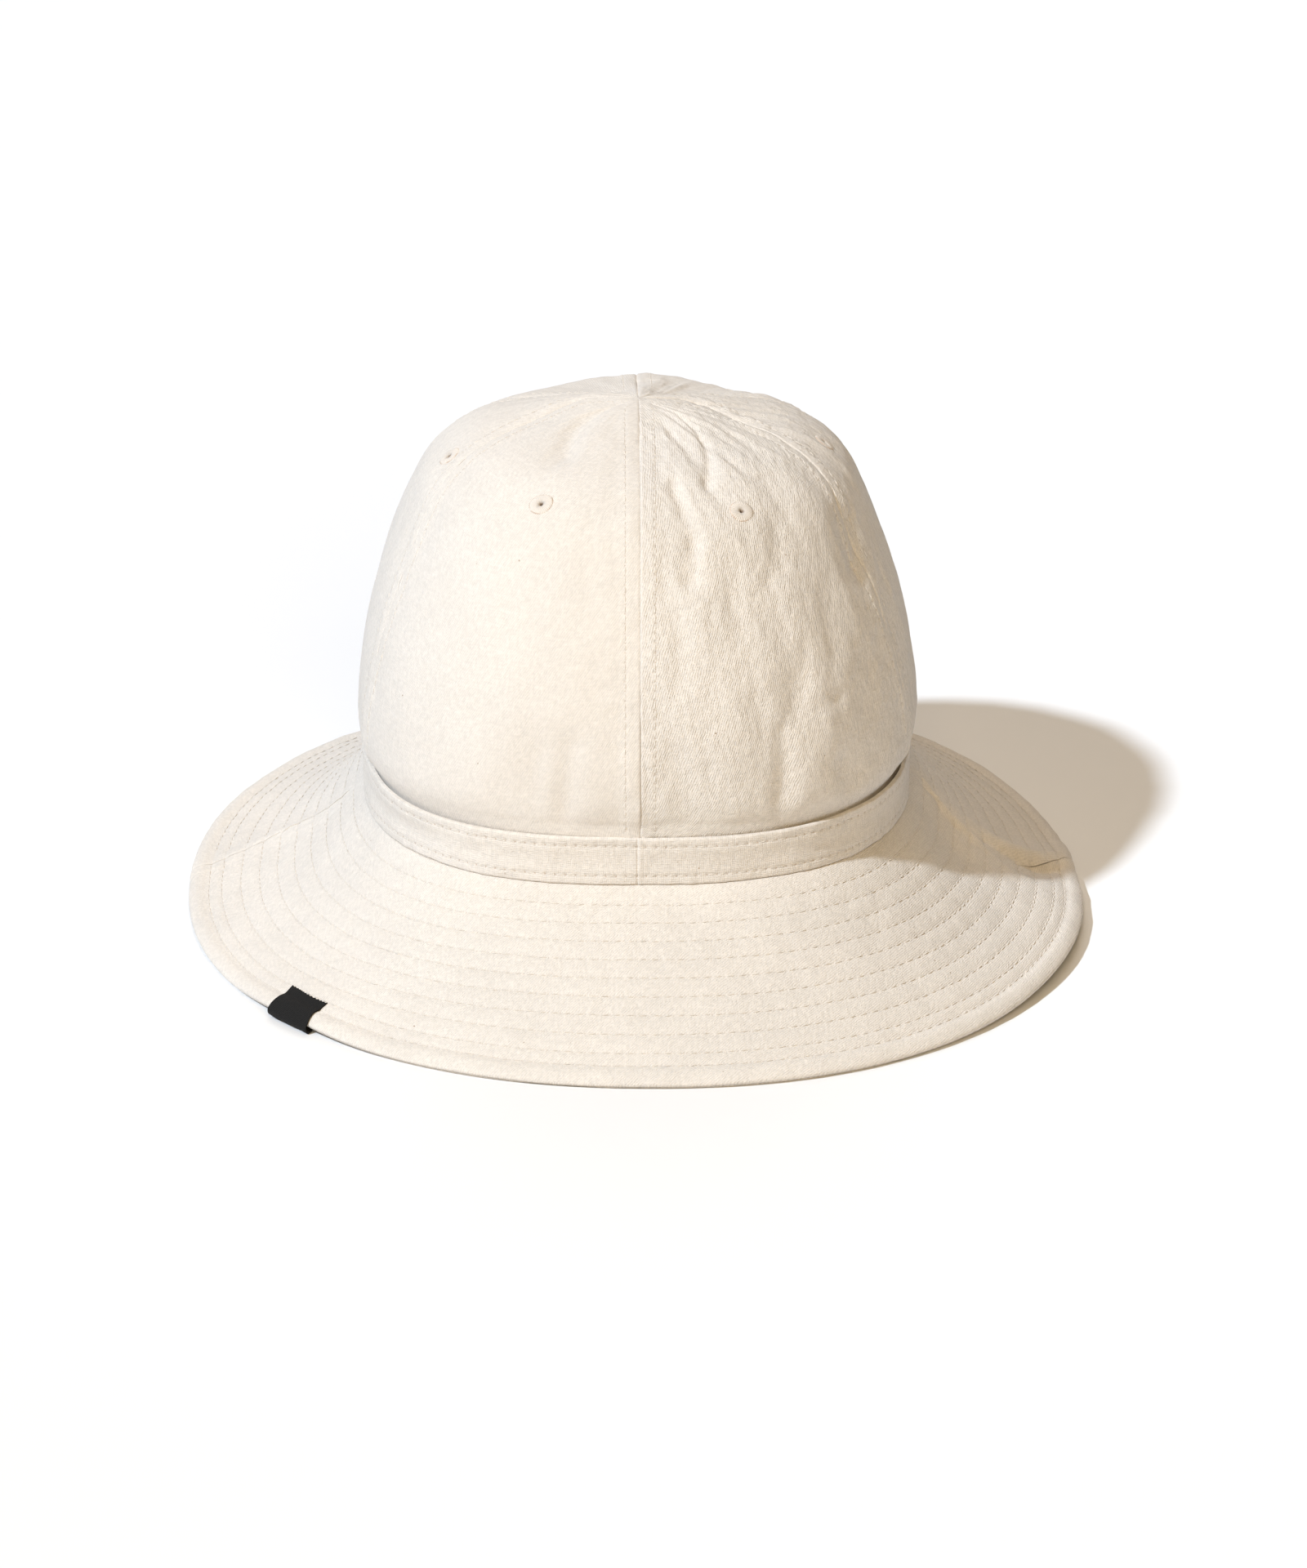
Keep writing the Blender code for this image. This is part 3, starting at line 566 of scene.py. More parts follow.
# The pleat along the right seam. Columns: share of the way out, then for its crest, its valley
# and the lip behind it the degrees from the seam and the rise in mm
BRIM_PLEAT = (
    (0.00, 4.8, 0.4, 8.0, 0.0, 11.0, 0.0),
    (0.12, 2.6, 1.3, 5.4, -0.3, 9.0, 0.0),
    (0.20, -0.6, 2.1, 2.4, -0.8, 7.8, 0.2),
    (0.30, -1.5, 2.5, 1.8, -1.2, 6.9, 0.4),
    (0.42, -2.8, 2.1, 2.2, -1.5, 6.2, 0.6),
    (0.53, -4.8, 1.3, 1.6, -1.9, 4.4, 0.9),
    (0.62, -6.8, 0.6, 0.8, -2.2, 3.2, 1.2),
    (0.72, -8.5, 0.1, 0.0, -2.4, 2.0, 1.3),
    (0.82, -9.5, 0.0, -0.9, -1.9, 1.2, 1.1),
    (0.92, -9.5, 0.0, -2.0, -0.8, 0.6, 0.6),
    (1.00, -9.5, 0.0, -3.0, 0.0, 0.4, 0.0),
)
# The hollow in front of the pleat: rise in mm, degrees from the seam and half width in degrees,
# share of the way out and half width as such a share
PLEAT_HOLLOW = (-3.2, -12.0, 9.0, 0.24, 0.15)


def brim_seam(side, share):
    """Azimuth of a side seam of the brim. side is 1 on the right and -1 on the left."""
    return read_table(share, BRIM_SEAMS, 1 if side > 0 else 2)


def brim_lift(azimuth, share):
    """Height that waves and creases add to the brim."""
    lift = np.zeros(np.broadcast(azimuth, share).shape)
    for centre, half_width, rise, start in BRIM_WAVES:
        lift += rise * bell(turn_of(azimuth, centre) / half_width) * ease((share - start) / (1 - start))
    for side, offset, half_width, rise, start, peak, end in BRIM_CREASES:
        off_line = turn_of(azimuth, brim_seam(side, share) + side * offset)
        fade = ease((share - start) / (peak - start)) * (1 - ease((share - peak) / (end - peak)))
        lift += rise * bell(off_line / half_width) * fade
    off_seam = turn_of(azimuth, brim_seam(1, share))
    rise, offset, half_width, peak, reach = PLEAT_HOLLOW
    pleat = rise * bell((off_seam - offset) / half_width) * bell((share - peak) / reach)
    shares, *columns = np.array(BRIM_PLEAT).T
    for line, rise, half_width in zip(columns[::2], columns[1::2], (1.7, 1.3, 2.0)):
        off_line = off_seam - np.interp(share, shares, line)
        pleat += np.interp(share, shares, rise) * bell(off_line / half_width)
    return lift * BRIM_DROP + pleat * 0.001 * ease(share / 0.08)


def brim_bowing(azimuth):
    """Share of the bow at an azimuth."""
    return read_table(turn_of(azimuth, 0.0), BRIM_BOW)


BOW_AT_BAND = 1.30
BOW_AT_EDGE = 0.57


def brim_plain(azimuth, share):
    """Top face of the brim in plan shares, not yet centred on the hat's origin."""
    azimuth, share = np.broadcast_arrays(azimuth, share)
    turn = np.radians(azimuth)
    inner = oval_radius(turn, SEAT_HALF_WIDTH, SEAT_HALF_LENGTH, FOOT_SQUARENESS)
    outer = oval_radius(turn, SEAT_HALF_WIDTH + BRIM_REACH_SIDE,
                        SEAT_HALF_LENGTH + BRIM_REACH_FRONT, EDGE_SQUARENESS)
    outer = outer + BRIM_REACH_SIDE * read_table(turn_of(azimuth, 0.0), EDGE_REACH)
    bowed = brim_bowing(azimuth)
    out = limit(share)
    radius = inner + (outer - inner) * out + SEAT_DEPTH * np.minimum(share, 0.0)
    bow = BOW_AT_BAND + (BOW_AT_EDGE - BOW_AT_BAND) * out
    fall = out + bowed * out * (1.0 - out) * bow
    hem_start = 1.0 - HEM_WIDTH / (BRIM_REACH_SIDE * 1.2)
    roll = HEM_ROLL * np.sin(np.pi * limit((share - hem_start) / (1.0 - hem_start)))
    steepness = BRIM_DROP * (1.0 - BOW_AT_EDGE * bowed) / (outer - inner)
    edge_height = STACK / np.sqrt(1.0 + steepness ** 2) - EDGE_PRESS
    height = SEAT_HEIGHT - (SEAT_HEIGHT - edge_height) * fall + brim_lift(azimuth, out) + roll
    return round_point(radius, turn, height)


def brim_centre():
    """Middle of the brim's bounds in plan, which is the hat's origin."""
    edge = brim_plain(np.arange(0.0, 360.0, 1.0), 1.0)
    return (edge.max(axis=0) + edge.min(axis=0)) / 2 * (1.0, 1.0, 0.0)


CENTRE = brim_centre()
BRIM_LENGTH = 0.0729


def plan_share(azimuth, cloth_share):
    """Share of the way out in plan for a share along the cloth, which a bow packs at the band."""
    s = limit(cloth_share)
    packed = brim_bowing(azimuth) * s * (1.0 - s) * (0.33 - 0.15 * s)
    return np.where(np.asarray(cloth_share) < 0.0, cloth_share, s - packed)


def brim_point(azimuth, cloth_share):
    """Top face of the brim, at a share of the way along the cloth from band to edge."""
    azimuth, cloth_share = np.broadcast_arrays(azimuth, cloth_share)
    return brim_plain(azimuth, plan_share(azimuth, cloth_share)) - CENTRE


def brim_normal(azimuth, cloth_share):
    """Upward normal of the brim, from the points just beside it on each side."""
    along = brim_point(azimuth + 0.3, cloth_share) - brim_point(azimuth - 0.3, cloth_share)
    across = brim_point(azimuth, cloth_share + 0.003) - brim_point(azimuth, cloth_share - 0.003)
    normal = np.cross(along, across)
    return unit(normal * np.sign(normal[..., 2:3]))


print("hat's middle in plan:", np.round(CENTRE * 1000, 2), "mm")

# %% [markdown]
# ## Seams of the crown
#
# Each panel turns in at its seams, and the spare cloth pressed open behind it makes a faint welt
# as far as the row of topstitching. The thread pulls a small groove there, and the cloth puckers
# a little beside it. These are all simple functions of the distance from the seam, so the grid
# gets closely spaced columns beside the seams and wider ones in the middle.

# %% Seams of the crown
PANEL_BULGE = 1.03


def crown_seam(number, climb):
    """Azimuth of a seam at a share of the way up: its azimuth at the foot, plus its turn."""
    azimuth, turned = SEAMS[number]
    return azimuth + turned * read_table(climb, SEAM_TURN)


def ring_radius(climb):
    """Radius of the crown at a share of the way up, and never quite 0."""
    return np.maximum(np.interp(climb, CLIMBS, RADII), 0.0002)


def panel_frame(number, climb):
    """A panel's middle and half width in degrees, and its half width along the cloth."""
    first = crown_seam(number, climb)
    last = crown_seam(number + 1, climb)
    half = (last - first) / 2
    return (first + last) / 2, half, arc(half, ring_radius(climb)) * PANEL_BULGE


def seam_square(number, climb):
    """Cosine of a seam's slant: a distance square to it, over the same distance along a ring."""
    sweep = np.radians(crown_seam(number, climb + 0.01) - crown_seam(number, climb - 0.01)) / 0.02
    return CLOTH_LENGTH / np.hypot(CLOTH_LENGTH, ring_radius(climb) * sweep)


def seam_length(number, climb):
    """Length along a seam from the foot to a share of the way up, added from short steps."""
    fine = np.linspace(0.0, 1.0, 500)
    steps = np.diff(fine) * CLOTH_LENGTH / seam_square(number, (fine[1:] + fine[:-1]) / 2)
    return np.interp(climb, fine, np.r_[0.0, np.cumsum(steps)])


def tip_share(span, square):
    """1 where a panel is wide, falling to 0 at its tip, to narrow what lies along its seam."""
    return limit(span * square / 0.009)


print("front seam:", round(float(seam_length(0, 1.0)) * 1000), "mm long,",
      "side seam:", round(float(seam_length(1, 1.0)) * 1000), "mm")

# %% [markdown]
# ## Panels of the crown
#
# A real panel is a leaf of cloth with its edges turned in, and the topstitching presses the
# spare cloth flat along both sides of the seam. Each panel here is one grid made of two halves
# that are counted from their seams, so the welt, the groove and the needle holes keep their
# distance to the seam all the way up. A texture could not give the seam its raised edges.

# %% Panels of the crown
SEAM_COLUMNS = np.array([0, 0.2, 0.45, 0.8, 1.4, 2.2, 3.2, 4.0, 4.5, 5.0, 5.8, 7.2]) / 1000
TOPSTITCH_INSET = 0.0045
TOPSTITCH_PITCH = 0.0030
PANEL_ROWS = 168
COLUMN_STEP = 0.0014


def panel_point(number, side, climb):
    """Outer face of a panel without its seams' relief. side goes from -1 to 1 between seams."""
    middle, half, _ = panel_frame(number, climb)
    inset = np.degrees(0.00003 / ring_radius(climb))
    return crown_point(middle + np.maximum(half - inset, 0.0) * side, climb, side)


def outward_normals(points, normal):
    """Turn normals so that they point away from the middle of the head."""
    return normal * np.sign(np.sum(normal * (points - (0.0, 0.0, DOME_CENTRE)), axis=-1, keepdims=True))


def seam_relief(distance, along, edge, seed):
    """Height beside a topstitched seam, from the distance to it and the length along it.

    The edge on the seam's right, where edge is below 0, is rolled up a little over the other.
    """
    turned_in = -0.00016 * bell(distance / 0.00030)
    rolled = 0.00016 * bell((distance - 0.0008) / 0.0006) * (edge < 0)
    welt = 0.00036 * (1 - ease((distance - 0.0044) / 0.0016))
    stitches = along / TOPSTITCH_PITCH
    groove = stitch_groove(distance - TOPSTITCH_INSET, stitches, 0.00020, 0.00007, 0.00060)
    ripple = soft_noise(along / 0.0042, distance / 0.0052 + 0.5, seed)
    pucker = 0.00026 * ripple * bell((distance - 0.004) / 0.0065)
    return turned_in + rolled + welt + groove + pucker


def panel_side(number, edge, climb):
    """Half of a panel from its seam to its middle, with columns close together at the seam.

    Gives each point's side from -1 to 1, its distance square to the seam and its length along it.
    """
    span = panel_frame(number, climb)[2]
    seam = number + (edge > 0)
    square = seam_square(seam, climb)
    near = SEAM_COLUMNS / square * tip_share(span, square)
    count = int((panel_frame(number, 0.3)[2] - SEAM_COLUMNS[-1]) / COLUMN_STEP)
    far = near[:, -1:] + (span - near[:, -1:]) * np.linspace(0.0, 1.0, count + 1)[1:]
    across = np.concatenate([near, far], axis=1)
    return edge * (1.0 - across / span), across * square, seam_length(seam, climb) + 0 * across


def make_panel(name, number):
    """One closed panel, whose inner face is thicker where the spare cloth lies."""
    climb = np.r_[0.0, np.linspace(FOOT_CLIMB, 1.0, PANEL_ROWS)][:, None]
    halves = zip(panel_side(number, -1, climb), panel_side(number, 1, climb))
    side, distance, along = (np.concatenate([a, b[:, -2::-1]], axis=1) for a, b in halves)
    side[-1] = 0.0
    base = panel_point(number, side, climb)
    normal = outward_normals(base, grid_normals(base))
    normal[-2:] = (0.0, 0.0, 1.0)
    tip = ease((1.0 - climb) / 0.03)
    relief = tip * seam_relief(distance, along, side, 20 + number)
    relief = relief * ease((climb - FOOT_CLIMB * 0.5) / 0.04)
    spare = 0.0006 * (1 - ease((distance - 0.0050) / 0.0008)) * tip
    outer_face = base + normal * relief[..., None]
    inner_face = base - normal * (CROWN_CLOTH + spare)[..., None]
    span = panel_frame(number, climb)[2]
    maps = {"cloth": (span * side, climb * CLOTH_LENGTH),
            "stitch": (np.abs(distance - TOPSTITCH_INSET), along)}
    return cloth_shell(name, outer_face, inner_face, maps)


panels = {}
for number, (name, _, _) in enumerate(PANELS):
    panels[name] = join_hat(make_panel("panel_" + name, number),
                            "crown_panel_" + name)

# %% [markdown]
# ## Eyelets
#
# Each eyelet is a hole with thread worked round it, so the ring has fine ridges that run from
# the hole outwards. It could be a torus with a bump, but real ridges catch the light better and
# give the ring its slightly toothed rim. The hole itself is cut out of the panel by a Boolean.

# %% Worked eyelets
EYELET_RADIUS = 0.00375
EYELET_BORE = 0.00018
# Closed profile round the cloth's cut edge. Columns: share from bore to rim, height in mm
EYELET_PROFILE = (
    (0.00, -0.95),
    (0.04, -0.55),
    (0.10, -0.22),
    (0.17, 0.05),
    (0.27, 0.26),
    (0.40, 0.36),
    (0.62, 0.36),
    (0.80, 0.28),
    (0.92, 0.14),
    (1.00, -0.10),
    (0.97, -0.24),
    (0.60, -0.30),
    (0.24, -0.45),
    (0.22, -1.40),
    (0.60, -1.75),
    (0.78, -1.82),
    (0.70, -2.10),
    (0.40, -2.30),
    (0.10, -2.10),
    (0.01, -1.50),
)
EYELET_THREADS = 34
HOLE_RADIUS = 0.0015


def panel_side_of(number, azimuth, climb):
    """Where an azimuth lies across a panel, from -1 to 1 between its seams."""
    middle, half, _ = panel_frame(number, climb)
    return (azimuth - middle) / half


def eyelet_place(number, azimuth, climb):
    """The eyelet's place on the crown and the normal there."""
    around = np.array([[0.0, 0.0], [-2.4, 0.0], [2.4, 0.0], [0.0, -0.02], [0.0, 0.02]])
    turn, up = azimuth + around[:, 0], climb + around[:, 1]
    near = crown_point(turn, up, panel_side_of(number, turn, up))
    return near[0], unit(outward_normals(near[0], np.cross(near[2] - near[1], near[4] - near[3])))


def make_eyelet(name, number, azimuth, climb, normal):
    """A profile carried round the hole on the crown's own surface, with a ridge for each thread."""
    profile = np.array(EYELET_PROFILE)
    turns = np.linspace(0.0, 2 * np.pi, EYELET_THREADS * 5 + 1)[None, :]
    share = profile[:, 0][:, None]
    height = profile[:, 1][:, None] / 1000
    ridge = 0.5 + 0.5 * np.cos(EYELET_THREADS * turns)
    lobes = np.cos(2 * turns + number) + 0.6 * np.cos(3 * turns + 2.0 * number)
    worked = (height > -0.0001) * ease(share / 0.25)
    rim = EYELET_RADIUS * (1 + 0.030 * lobes + 0.03 * ridge)
    radius = EYELET_BORE + (rim - EYELET_BORE) * share
    lift = height + worked * (0.00005 * ridge + 0.00005 * lobes)
    turn = azimuth + np.degrees(radius * np.cos(turns) / ring_radius(climb) / PANEL_BULGE)
    up = climb + radius * np.sin(turns) / CLOTH_LENGTH
    ring = crown_point(turn, up, panel_side_of(number, turn, up)) + lift[..., None] * normal
    rows, columns = ring.shape[:2]
    place = np.arange(rows * columns).reshape(rows, columns)
    index = place[:, :-1] - np.arange(rows)[:, None]
    index = np.concatenate([index, index[:, :1]], axis=1)
    faces, corners = (
        np.stack([low[:, :-1], low[:, 1:], high[:, 1:], high[:, :-1]], axis=-1).reshape(-1, 4)
        for low, high in ((index, np.roll(index, -1, axis=0)), (place, np.roll(place, -1, axis=0))))
    vertices = ring[:, :-1].reshape(-1, 3)
    faces, corners = face_out(vertices - vertices[0], faces, corners)
    uv = map_points((share, turns * EYELET_THREADS / (2 * np.pi)))
    return mesh_object(name, vertices, faces, {"ring": uv[corners]})


def cut_hole(panel, place, normal):
    """Take a short rod out of a panel, as the eyelet's hole, and apply the cut."""
    rod = bmesh.new()
    bmesh.ops.create_cone(rod, cap_ends=True, segments=24, radius1=HOLE_RADIUS,
                          radius2=HOLE_RADIUS, depth=0.012)
    turn = Vector(normal).to_track_quat("Z", "Y").to_matrix().to_4x4()
    turn.translation = Vector(place)
    bmesh.ops.transform(rod, matrix=turn, verts=rod.verts)
    mesh = bpy.data.meshes.new("hole")
    rod.to_mesh(mesh)
    rod.free()
    cutter = bpy.data.objects.new("hole", mesh)
    bpy.context.scene.collection.objects.link(cutter)
    cut = panel.modifiers.new("hole", "BOOLEAN")
    cut.operation = "DIFFERENCE"
    cut.solver = "EXACT"
    cut.object = cutter
    done = bpy.data.meshes.new_from_object(panel.evaluated_get(bpy.context.evaluated_depsgraph_get()))
    panel.modifiers.clear()
    panel.data = done
    bpy.data.objects.remove(cutter, do_unlink=True)


eyelets = []
for number, (name, eyelet_turn, eyelet_up) in enumerate(PANELS):
    place, normal = eyelet_place(number, eyelet_turn, eyelet_up)
    cut_hole(panels[name], place, normal)
    ring = make_eyelet("worked_eyelet_" + name, number, eyelet_turn, eyelet_up, normal)
    eyelets.append(join_hat(ring, "eyelet_" + name))

# %% [markdown]
# ## Band
#
# The band is a strip of plain cloth with both edges turned under and stitched down, so it is
# thickest between its edges and rounded at them. It lies close to the crown but not tightly, and
# its top edge wavers a little. It closes at the front with an upright seam.

# %% Band round the crown's foot
BAND_STITCH_INSET = 0.0028
BAND_STITCH_PITCH = 0.0031
BAND_RADIUS = 0.095


def band_point(azimuth, up):
    """Outer face of the band before its relief. up goes from 0 at the brim to 1 at the top."""
    azimuth, up = np.broadcast_arrays(azimuth, up)
    turn = np.radians(azimuth)
    radius = oval_radius(turn, SEAT_HALF_WIDTH, SEAT_HALF_LENGTH, FOOT_SQUARENESS)
    along = arc(azimuth, BAND_RADIUS)
    slack = 0.00035 * soft_noise(along / 0.030 + 0.5, up * 1.2, 41)
    slack = slack + 0.00022 * soft_noise(along / 0.011 + 0.5, up * 2.5, 42)
    waver = 0.00035 * soft_noise(along / 0.055 + 0.5, np.zeros_like(up) + 0.5, 43)
    dent = -0.0007 * bell(turn_of(azimuth, -47.0) / 14.0) * bell((up - 0.45) / 0.22)
    lowered = 0.00016 * (1 - ease(up / 0.15))
    height = FOOT_HEIGHT + BAND_HEIGHT * up + waver * ease(up) - lowered
    return round_point(radius + slack + dent, turn, height) - CENTRE


def band_relief(azimuth, up):
    """Rounded edges, a groove at each row of stitches, and the seam at the front."""
    low = up * BAND_HEIGHT
    high = BAND_HEIGHT - low
    edge = np.minimum(low, high)
    rounded = -0.0005 * round_off(edge / 0.0007)
    stitches = arc(azimuth, BAND_RADIUS) / BAND_STITCH_PITCH
    groove = stitch_groove(edge - BAND_STITCH_INSET, stitches, 0.00022, 0.00006, 0.00045)
    folded = 0.00022 * (1 - ease((edge - 0.0046) / 0.0012))
    off_seam = arc(turn_of(azimuth, 0.25), BAND_RADIUS)
    seam = -0.00030 * bell(off_seam / 0.00022) + 0.00014 * bell((off_seam - 0.0009) / 0.0007)
    pucker = 0.00014 * soft_noise(azimuth * 0.5, low / 0.004, 44)
    pucker = pucker + 0.00008 * soft_noise(azimuth * 1.1, low / 0.0024, 45)
    return rounded + groove + folded + seam + pucker


def make_band():
    """A closed ring, with its columns packed at the front seam."""
    even = np.linspace(-180.0, 180.0, 620, endpoint=False)
    azimuth = even * (1.0 - 0.85 * bell(even / 12.0))
    edge_steps = np.array([0.0, 0.12, 0.35, 0.7, 1.2, 1.8, 2.3, 2.8, 3.3, 4.0, 5.0, 6.2]) / 1000
    low = edge_steps / BAND_HEIGHT
    up = np.r_[low, 0.5, 1.0 - low[::-1]][:, None]
    base = band_point(azimuth[None, :], up)
    flat = band_point(azimuth[None, :], np.array([[0.5]]))
    normal = unit(np.cross(np.roll(flat, -1, axis=1) - np.roll(flat, 1, axis=1), (0.0, 0.0, -1.0)))
    normal = normal * np.sign(np.sum(normal * flat, axis=-1, keepdims=True))
    relief = band_relief(azimuth[None, :], up)
    outer = base + normal * relief[..., None]
    inner = base - normal * (BAND_CLOTH - 0.0001)
    turns = arc(np.r_[azimuth, azimuth[0] + 360.0], BAND_RADIUS)[None, :]
    low = up * BAND_HEIGHT
    edge = np.minimum(low, BAND_HEIGHT - low)
    maps = {"cloth": (turns, low), "stitch": (np.abs(edge - BAND_STITCH_INSET), turns)}
    return cloth_shell("band_strip", outer, inner, maps, ring=True)


band = join_hat(make_band(), "band")

# %% [markdown]
# ## Brim
#
# Nine rows of stitching hold the two layers together, with one more row beside the padded edge.
# Between the rows the cloth stands up slightly, and each stitch pulls it down. Both layers use
# the same rows, so a function of the distance to the nearest row gives the quilted relief of
# both. At the edge each layer rolls under, which leaves a fine groove between the two.

# %% Layers of the brim
FIRST_ROW = 0.0074
ROW_STEP = 0.00675
EDGE_ROW = BRIM_LENGTH - 0.0070
ROWS = np.r_[FIRST_ROW + ROW_STEP * np.arange(9), EDGE_ROW] / BRIM_LENGTH
BRIM_PITCH = 0.00375
LIP = 0.0009
# Gap at the side seams as an angle, and the flat cut's inner radius and share of a whole turn
SIDE_GAP = 0.00008 / 0.12
CUT_RADIUS = 0.112
CUT_TURN = 0.82


def row_radius(cloth_share):
    """Mean radius of a row round the brim at this share of the cloth."""
    return 0.0932 + 0.0590 * cloth_share


def stitches_round(cloth_share):
    """How many stitches a whole turn of a row would have at this share of the cloth."""
    return 2 * np.pi * row_radius(cloth_share) / BRIM_PITCH


def brim_relief(azimuth, cloth_share):
    """Quilting, padded edge, side seams and a soft unevenness, as height above the plain face."""
    length = cloth_share * BRIM_LENGTH
    away = np.min(np.abs(cloth_share[..., None] - ROWS), axis=-1) * BRIM_LENGTH
    stitches = stitches_round(cloth_share) * azimuth / 360.0
    groove = stitch_groove(away, stitches, 0.00020, -0.00007, 0.00075)
    puff = 0.00005 * ease(away / 0.0030)
    hem = limit((length - EDGE_ROW) / (BRIM_LENGTH - EDGE_ROW))
    padding = 0.00035 * np.sin(np.pi * hem) ** 0.7
    lip = -0.85 * LIP * round_off((BRIM_LENGTH - length) / LIP)
    plan = limit(plan_share(azimuth, cloth_share))
    seams = 0.0
    for side in (1, -1):
        off = arc(np.abs(turn_of(azimuth, brim_seam(side, plan))), row_radius(cloth_share))
        seams = seams - 0.0003 * bell(off / 0.0004) + 0.0002 * (1 - ease((off - 0.005) / 0.002))
    uneven = layered_noise(arc(azimuth, 0.125) + 2.0, length, BRIM_UNEVENNESS, 0.5)
    free = ease(length / 0.003)
    return free * (groove + puff + uneven) + padding + lip + seams


def brim_rows():
    """Shares along the cloth of the mesh's rows, close together at each row of stitches."""
    offsets = np.array([-3.3, -1.5, -0.6, 0.0, 0.6, 1.5]) / 1000 / BRIM_LENGTH
    near = (ROWS[:, None] + offsets).ravel()
    near = near[near < EDGE_ROW / BRIM_LENGTH + 0.003]
    hem = 1.0 - np.array([5.4, 4.2, 3.0, 2.0, 1.3, 0.9, 0.6, 0.35, 0.15, 0.05, 0.0]) / 1000 / BRIM_LENGTH
    start = np.array([-1.0, -0.02, 0.0, 0.006, 0.018, 0.036])
    return np.unique(np.round(np.r_[start, near, hem], 5))


def brim_layer(name, top, first_side, last_side, full_turn, columns):
    """One closed half of one layer of the brim, with a small gap left at its seams.

    Its flat cut is an arc: the radius grows by the mean length of cloth between the rows, and
    the angle is a fixed share of the azimuth from the half's middle.
    """
    share = brim_rows()[:, None]
    plan = limit(share)
    gap = np.degrees(SIDE_GAP)
    first = brim_seam(first_side, plan) + gap
    last = brim_seam(last_side, plan) + full_turn - gap
    across = np.linspace(0.0, 1.0, columns)[None, :]
    across = across - 0.55 * np.sin(2 * np.pi * across) / (2 * np.pi)
    azimuth = first + (last - first) * across
    share = share + 0 * across
    base = brim_point(azimuth, share)
    normal = brim_normal(azimuth, np.minimum(share, 0.996))
    relief = brim_relief(azimuth, share)[..., None]
    if top:
        outer = base + normal * relief
        inner = base - normal * (BRIM_CLOTH - 0.0001)
    else:
        outer = base - normal * (STACK + relief)
        inner = base - normal * (BRIM_CLOTH + GAP)
        outer[..., 2] = np.maximum(outer[..., 2], 0.0)
        inner[..., 2] = np.maximum(inner[..., 2], 0.0002)
    steps = np.linalg.norm(np.diff(base, axis=0), axis=-1).mean(axis=1)
    laid = np.r_[0.0, np.cumsum(steps)][:, None]
    slant = CUT_RADIUS + laid - laid[np.argmin(np.abs(share[:, 0]))]
    middle = 0.0 if full_turn == 0.0 else 180.0
    swing = np.radians(azimuth - middle) * CUT_TURN
    away = np.min(np.abs(share[..., None] - ROWS), axis=-1) * BRIM_LENGTH
    along = stitches_round(share) * azimuth / 360.0 * BRIM_PITCH
    maps = {"cloth": (slant * np.sin(swing), -slant * np.cos(swing)), "stitch": (away, along)}
    return cloth_shell(name, outer, inner, maps)


layers = {}
for half, first_side, last_side, full_turn in (("front", -1, 1, 0.0), ("back", 1, -1, 360.0)):
    for layer, columns in (("top", 380), ("under", 220)):
        name = layer + "_" + half
        made = brim_layer("brim_layer_" + name, layer == "top", first_side, last_side, full_turn, columns)
        layers[name] = join_hat(made, "brim_" + name)

# %% [markdown]
# ## Tab
#
# The black tab is a piece of woven tape folded over the brim's edge, plain on both sides. It
# follows the padded edge like a second skin, and its cut end stands in small uneven teeth.

# %% Tab folded over the edge
TAB_LENGTH = 0.020


def make_tab():
    """A strip in three parts: down the top face, half a turn round the edge, and back below."""
    across = np.linspace(0.0, 1.0, 45)[None, :]
    up = np.linspace(0.0, 1.0, 90)[:, None]
    clear = 0.00008 + LABEL_CLOTH
    top_end = 0.50
    round_end = 0.75
    edge_radius = float(np.linalg.norm(brim_point(LABEL_AZIMUTH, 1.0)[:2] + CENTRE[:2]))
    pinch = 1.0 - 0.06 * np.sin(np.pi * limit(up / top_end))
    azimuth = LABEL_AZIMUTH + np.degrees(LABEL_WIDTH / edge_radius) * (0.5 - across) * pinch
    teeth = 0.5 + 0.5 * np.cos(2 * np.pi * across * 13 + 2 * np.sin(across * 9))
    frayed = 1.0 + (0.05 * teeth - 0.03 * np.sin(across * 5.0)) * bell(up / 0.05)
    before = limit(1.0 - up / top_end) * LABEL_REACH * frayed
    after = limit((up - round_end) / (1.0 - round_end)) * LABEL_UNDER
    share = 1.0 - (before + after) / BRIM_LENGTH
    azimuth, share = np.broadcast_arrays(azimuth, share)
    point = brim_point(azimuth, share)
    normal = brim_normal(azimuth, np.minimum(share, 0.992))
    outward = point * (1.0, 1.0, 0.0)
    outward = unit(outward - normal * np.sum(outward * normal, axis=-1, keepdims=True))
    swing = np.pi * limit((up - top_end) / (round_end - top_end))[..., None]
    centre = point - normal * STACK / 2
    arm = normal * np.cos(swing) + outward * np.sin(swing)
    cushion = 0.0004 * np.sin(np.pi * limit(before / 0.0070)) ** 0.7
    wrinkle = 0.00012 * soft_noise(across * 5, up * 9, 61)
    reach = (STACK / 2 + clear + cushion + wrinkle)[..., None] + LABEL_SLACK * swing / np.pi
    outer = centre + arm * reach
    inner = centre + arm * (reach - LABEL_CLOTH)
    cloth = (across * LABEL_WIDTH, up * TAB_LENGTH)
    return cloth_shell("folded_tab", outer, inner, {"cloth": cloth})


tab = join_hat(make_tab(), "brim_label")

# %% [markdown]
# ## Stitches
#
# Each stitch is a short length of thread between two needle holes, thickest in the middle and
# sinking into the cloth at its ends. A bump could suggest it, but the rows are the hat's main
# ornament, so each stitch is real. One function makes all the stitches of a piece at once from
# the arrays of their two ends.

